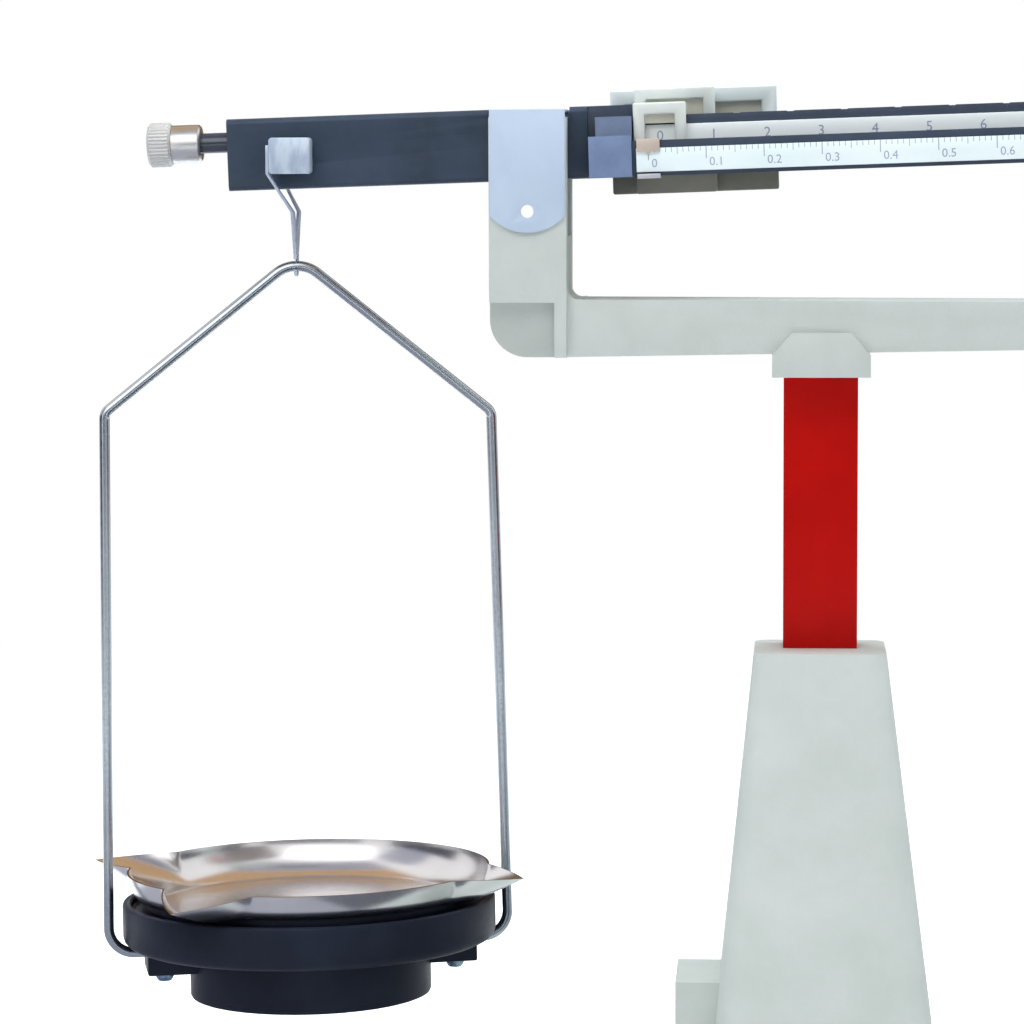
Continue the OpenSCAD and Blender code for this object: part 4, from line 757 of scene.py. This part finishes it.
# %% Index lines
POST_X, POST_FRONT = 165, -10
INDEX_MARGIN, INDEX_PITCH, INDEX_HALF = 1.8, 2, 0.15
MIDDLE_LINE, SIDE_LINE, SIDE_COUNT = 7, 4, 4
plate_y = POST_FRONT - PLATE_T
low_x = POST_X + INDEX_MARGIN
marks = bmesh.new()
for i in range(-SIDE_COUNT, SIDE_COUNT + 1):
    length = SIDE_LINE if i else MIDDLE_LINE
    z = FULCRUM.z + INDEX_PITCH * i
    join(marks, block((low_x, plate_y - PRINT, z - INDEX_HALF),
                      (low_x + length, plate_y + PRINT, z + INDEX_HALF)))
finish_piece("index_print", marks, "base", mark_ink)

# %% [markdown]
# ## The floor
#
# The object stands on a plain pale floor. To the camera the floor has a little light of its own, so
# that it melts into the white behind it and still shows the object's shadow. Farther out it fades to
# even white, because the edge of a real sheet would draw a line across the picture.

# %% Floor
FLOOR_R, FLOOR_GLOW = 2.5, 0.45
FADE_FROM, FADE_TO = 0.45, 1.2
bm = bmesh.new()
bmesh.ops.create_circle(bm, cap_ends=True, segments=96, radius=FLOOR_R)
floor_mesh = bpy.data.meshes.new("floor")
bm.to_mesh(floor_mesh)
bm.free()
floor = bpy.data.objects.new("floor", floor_mesh)
bpy.context.collection.objects.link(floor)
pale = finish("pale_floor", (246, 246, 246), (250, 250, 250), (0.7, 0.8), grain=300, relief=0.02)
floor_mesh.materials.append(pale)
print("floor of radius", FLOOR_R, "m")

# %% The floor's glow and its fade to white
tree = pale.node_tree
seen = add(tree, "ShaderNodeLightPath", -300, 500)
glow = add(tree, "ShaderNodeEmission", -300, 330, Color=(1, 1, 1, 1), Strength=FLOOR_GLOW)
sum_of = add(tree, "ShaderNodeAddShader", 320, 300)
choice = add(tree, "ShaderNodeMixShader", 520, 200)
lit = tree.nodes["Principled BSDF"].outputs[0]
where = add(tree, "ShaderNodeTexCoord", -900, 700)
distance = add(tree, "ShaderNodeVectorMath", -700, 700, operation="LENGTH")
fade = add(tree, "ShaderNodeMapRange", -500, 700)
fade.inputs["From Min"].default_value = FADE_FROM
fade.inputs["From Max"].default_value = FADE_TO
plain = add(tree, "ShaderNodeEmission", 320, 480, Color=(1, 1, 1, 1), Strength=1)
blend = add(tree, "ShaderNodeMixShader", 420, 380)
link = tree.links.new
link(lit, sum_of.inputs[0])
link(glow.outputs[0], sum_of.inputs[1])
link(where.outputs["Object"], distance.inputs[0])
link(distance.outputs["Value"], fade.inputs["Value"])
link(fade.outputs["Result"], blend.inputs[0])
link(sum_of.outputs[0], blend.inputs[1])
link(plain.outputs[0], blend.inputs[2])
link(seen.outputs["Is Camera Ray"], choice.inputs[0])
link(lit, choice.inputs[1])
link(blend.outputs[0], choice.inputs[2])
link(choice.outputs[0], tree.nodes["Material Output"].inputs[0])
print("the floor fades to white between", FADE_FROM, "and", FADE_TO, "m")

# %% [markdown]
# ## The background
#
# Where the camera or a mirror looks past the object it sees plain white. The paint gets only a faint
# even light from all round, so the shape still shows in its shadows. Light Path tells the two apart.

# %% World
AMBIENT = 0.3
world = bpy.data.worlds.new("studio")
bpy.context.scene.world = world
world.use_nodes = True
tree = world.node_tree
tree.nodes.clear()
seen = add(tree, "ShaderNodeLightPath", -700, 300)
either = add(tree, "ShaderNodeMath", -480, 300, operation="MAXIMUM")
any_of = add(tree, "ShaderNodeMath", -300, 300, operation="MAXIMUM")
ambient = add(tree, "ShaderNodeBackground", -300, 80, Color=(0.95, 0.975, 1, 1), Strength=AMBIENT)
white = add(tree, "ShaderNodeBackground", -300, -60, Color=(1, 1, 1, 1), Strength=1)
choice = add(tree, "ShaderNodeMixShader", -60, 100)
output = add(tree, "ShaderNodeOutputWorld", 150, 100)
link = tree.links.new
link(seen.outputs["Is Camera Ray"], either.inputs[0])
link(seen.outputs["Is Glossy Ray"], either.inputs[1])
link(either.outputs[0], any_of.inputs[0])
link(seen.outputs["Is Transmission Ray"], any_of.inputs[1])
link(any_of.outputs[0], choice.inputs[0])
link(ambient.outputs[0], choice.inputs[1])
link(white.outputs[0], choice.inputs[2])
link(choice.outputs[0], output.inputs[0])
print("even light of strength", AMBIENT)

# %% [markdown]
# ## Cards for the metal
#
# A polished surface looks like what it faces. In an all-white room steel turns into white plaster, so
# a studio hangs dark and toned cards just outside the picture: a bright sheet for the pan's far wall,
# grey and brown ones beside it, tan above and behind. Only reflections see these cards: they cast no
# shadow and give no light to the paint.

# %% Cards
def card(name, place, aim, width, height, colour, strength=1):
    """A flat card that faces a point, and shows only in reflections."""
    bm = bmesh.new()
    bmesh.ops.create_grid(bm, x_segments=1, y_segments=1, size=0.5)
    facing = (Vector(aim) - Vector(place)).to_track_quat("Z", "Y").to_matrix().to_4x4()
    bm.transform(Matrix.Translation(place) @ facing @ Matrix.Diagonal((width, height, 1, 1)))
    mesh = bpy.data.meshes.new(name)
    bm.to_mesh(mesh)
    bm.free()
    holder = bpy.data.objects.new(name, mesh)
    bpy.context.collection.objects.link(holder)
    material = bpy.data.materials.new(name)
    material.use_nodes = True
    tree = material.node_tree
    tree.nodes.remove(tree.nodes["Principled BSDF"])
    glow = add(tree, "ShaderNodeEmission", 0, 0, Color=linear(*colour), Strength=strength)
    tree.links.new(glow.outputs[0], tree.nodes["Material Output"].inputs[0])
    material.cycles.emission_sampling = "NONE"
    mesh.materials.append(material)
    holder.visible_camera = holder.visible_diffuse = False
    holder.visible_transmission = holder.visible_shadow = False
    print(name, "at", place)


PAN_AT = (-0.118, 0, 0.085)
card("grey_card_front", (0.1, -2.0, 0.2), (0.1, 0, 0.2), 2.6, 0.7, (112, 117, 128))
card("dark_card_right", (1.35, -0.35, 0.15), (0, -0.35, 0.15), 1.7, 0.8, (56, 60, 74))
card("dark_card_left", (-1.55, -0.35, 0.15), (0, -0.35, 0.15), 1.7, 0.8, (62, 66, 80))
card("softbox", (-0.34, -1.15, 1.08), PAN_AT, 1.5, 0.95, (255, 255, 255), 2.2)
card("brown_card", (0.95, -0.85, 0.9), PAN_AT, 0.95, 1.05, (134, 128, 126))
card("lavender_card", (-1.45, -0.45, 0.9), PAN_AT, 0.9, 1.05, (170, 172, 187))
card("grey_card_above", (-0.1, -0.32, 1.9), (-0.1, -0.32, 0), 2.3, 1.0, (166, 166, 176))
card("tan_card_above", (-0.1, 0.95, 1.9), (-0.1, 0.95, 0), 2.3, 1.5, (200, 164, 122))
card("tan_card_behind", (-0.1, 1.6, 0.8), (-0.1, 0, 0.8), 2.6, 1.55, (108, 82, 56))
card("grey_card_below", (-0.4, -0.2, 0.002), (-0.4, -0.2, 1), 0.68, 0.7, (178, 182, 195))
card("dark_card_below", (0.24, -0.2, 0.002), (0.24, -0.2, 1), 0.6, 0.7, (104, 108, 118))

# %% [markdown]
# ## Lamps
#
# Large soft lamps stand all round, so that no side is black and the shadows are soft. The strongest
# hang above, as in a room, and are a little blue like daylight. They are hidden from reflections,
# which the cards already fill, and weak enough that the pale enamel keeps its written colour.

# %% Lamps
MIDDLE = (-0.05, 0, 0.18)
COOL = (0.86, 0.94, 1)


def lamp(name, place, size, power, colour=(1, 1, 1)):
    """A rectangular lamp, its sides in metres and its power in watts, that faces the object."""
    light = bpy.data.lights.new(name, "AREA")
    light.shape = "RECTANGLE"
    light.size, light.size_y = size
    light.energy = power
    light.color = colour
    holder = bpy.data.objects.new(name, light)
    bpy.context.collection.objects.link(holder)
    holder.location = place
    direction = Vector(MIDDLE) - Vector(place)
    holder.rotation_mode = "QUATERNION"
    holder.rotation_quaternion = direction.to_track_quat("-Z", "Y")
    holder.visible_glossy = False
    print(name, "at", place)


lamp("key", (-1.0, -1.3, 1.5), (0.8, 0.8), 5)
lamp("fill", (1.4, -1.1, 0.8), (0.7, 0.7), 1.5)
lamp("front_top", (-0.05, -0.8, 1.5), (1.5, 0.6), 10.5)
lamp("top", (-0.05, 0.15, 1.6), (1.5, 0.6), 22, COOL)
lamp("left_side", (-1.5, 0.5, 0.9), (0.8, 0.8), 6, COOL)
lamp("right_side", (1.5, 0.5, 0.9), (0.8, 0.8), 5, COOL)
lamp("back", (-0.3, 1.4, 1.1), (1.2, 0.6), 5, COOL)

# %% [markdown]
# ## Last settings
#
# The view transform stays plain, so that a colour shows as it is written. The last line prints how
# many faces the dressed pieces have in all.

# %% Finish
bpy.context.scene.view_settings.view_transform = "Standard"
print("faces in all:", sum(made.values()))
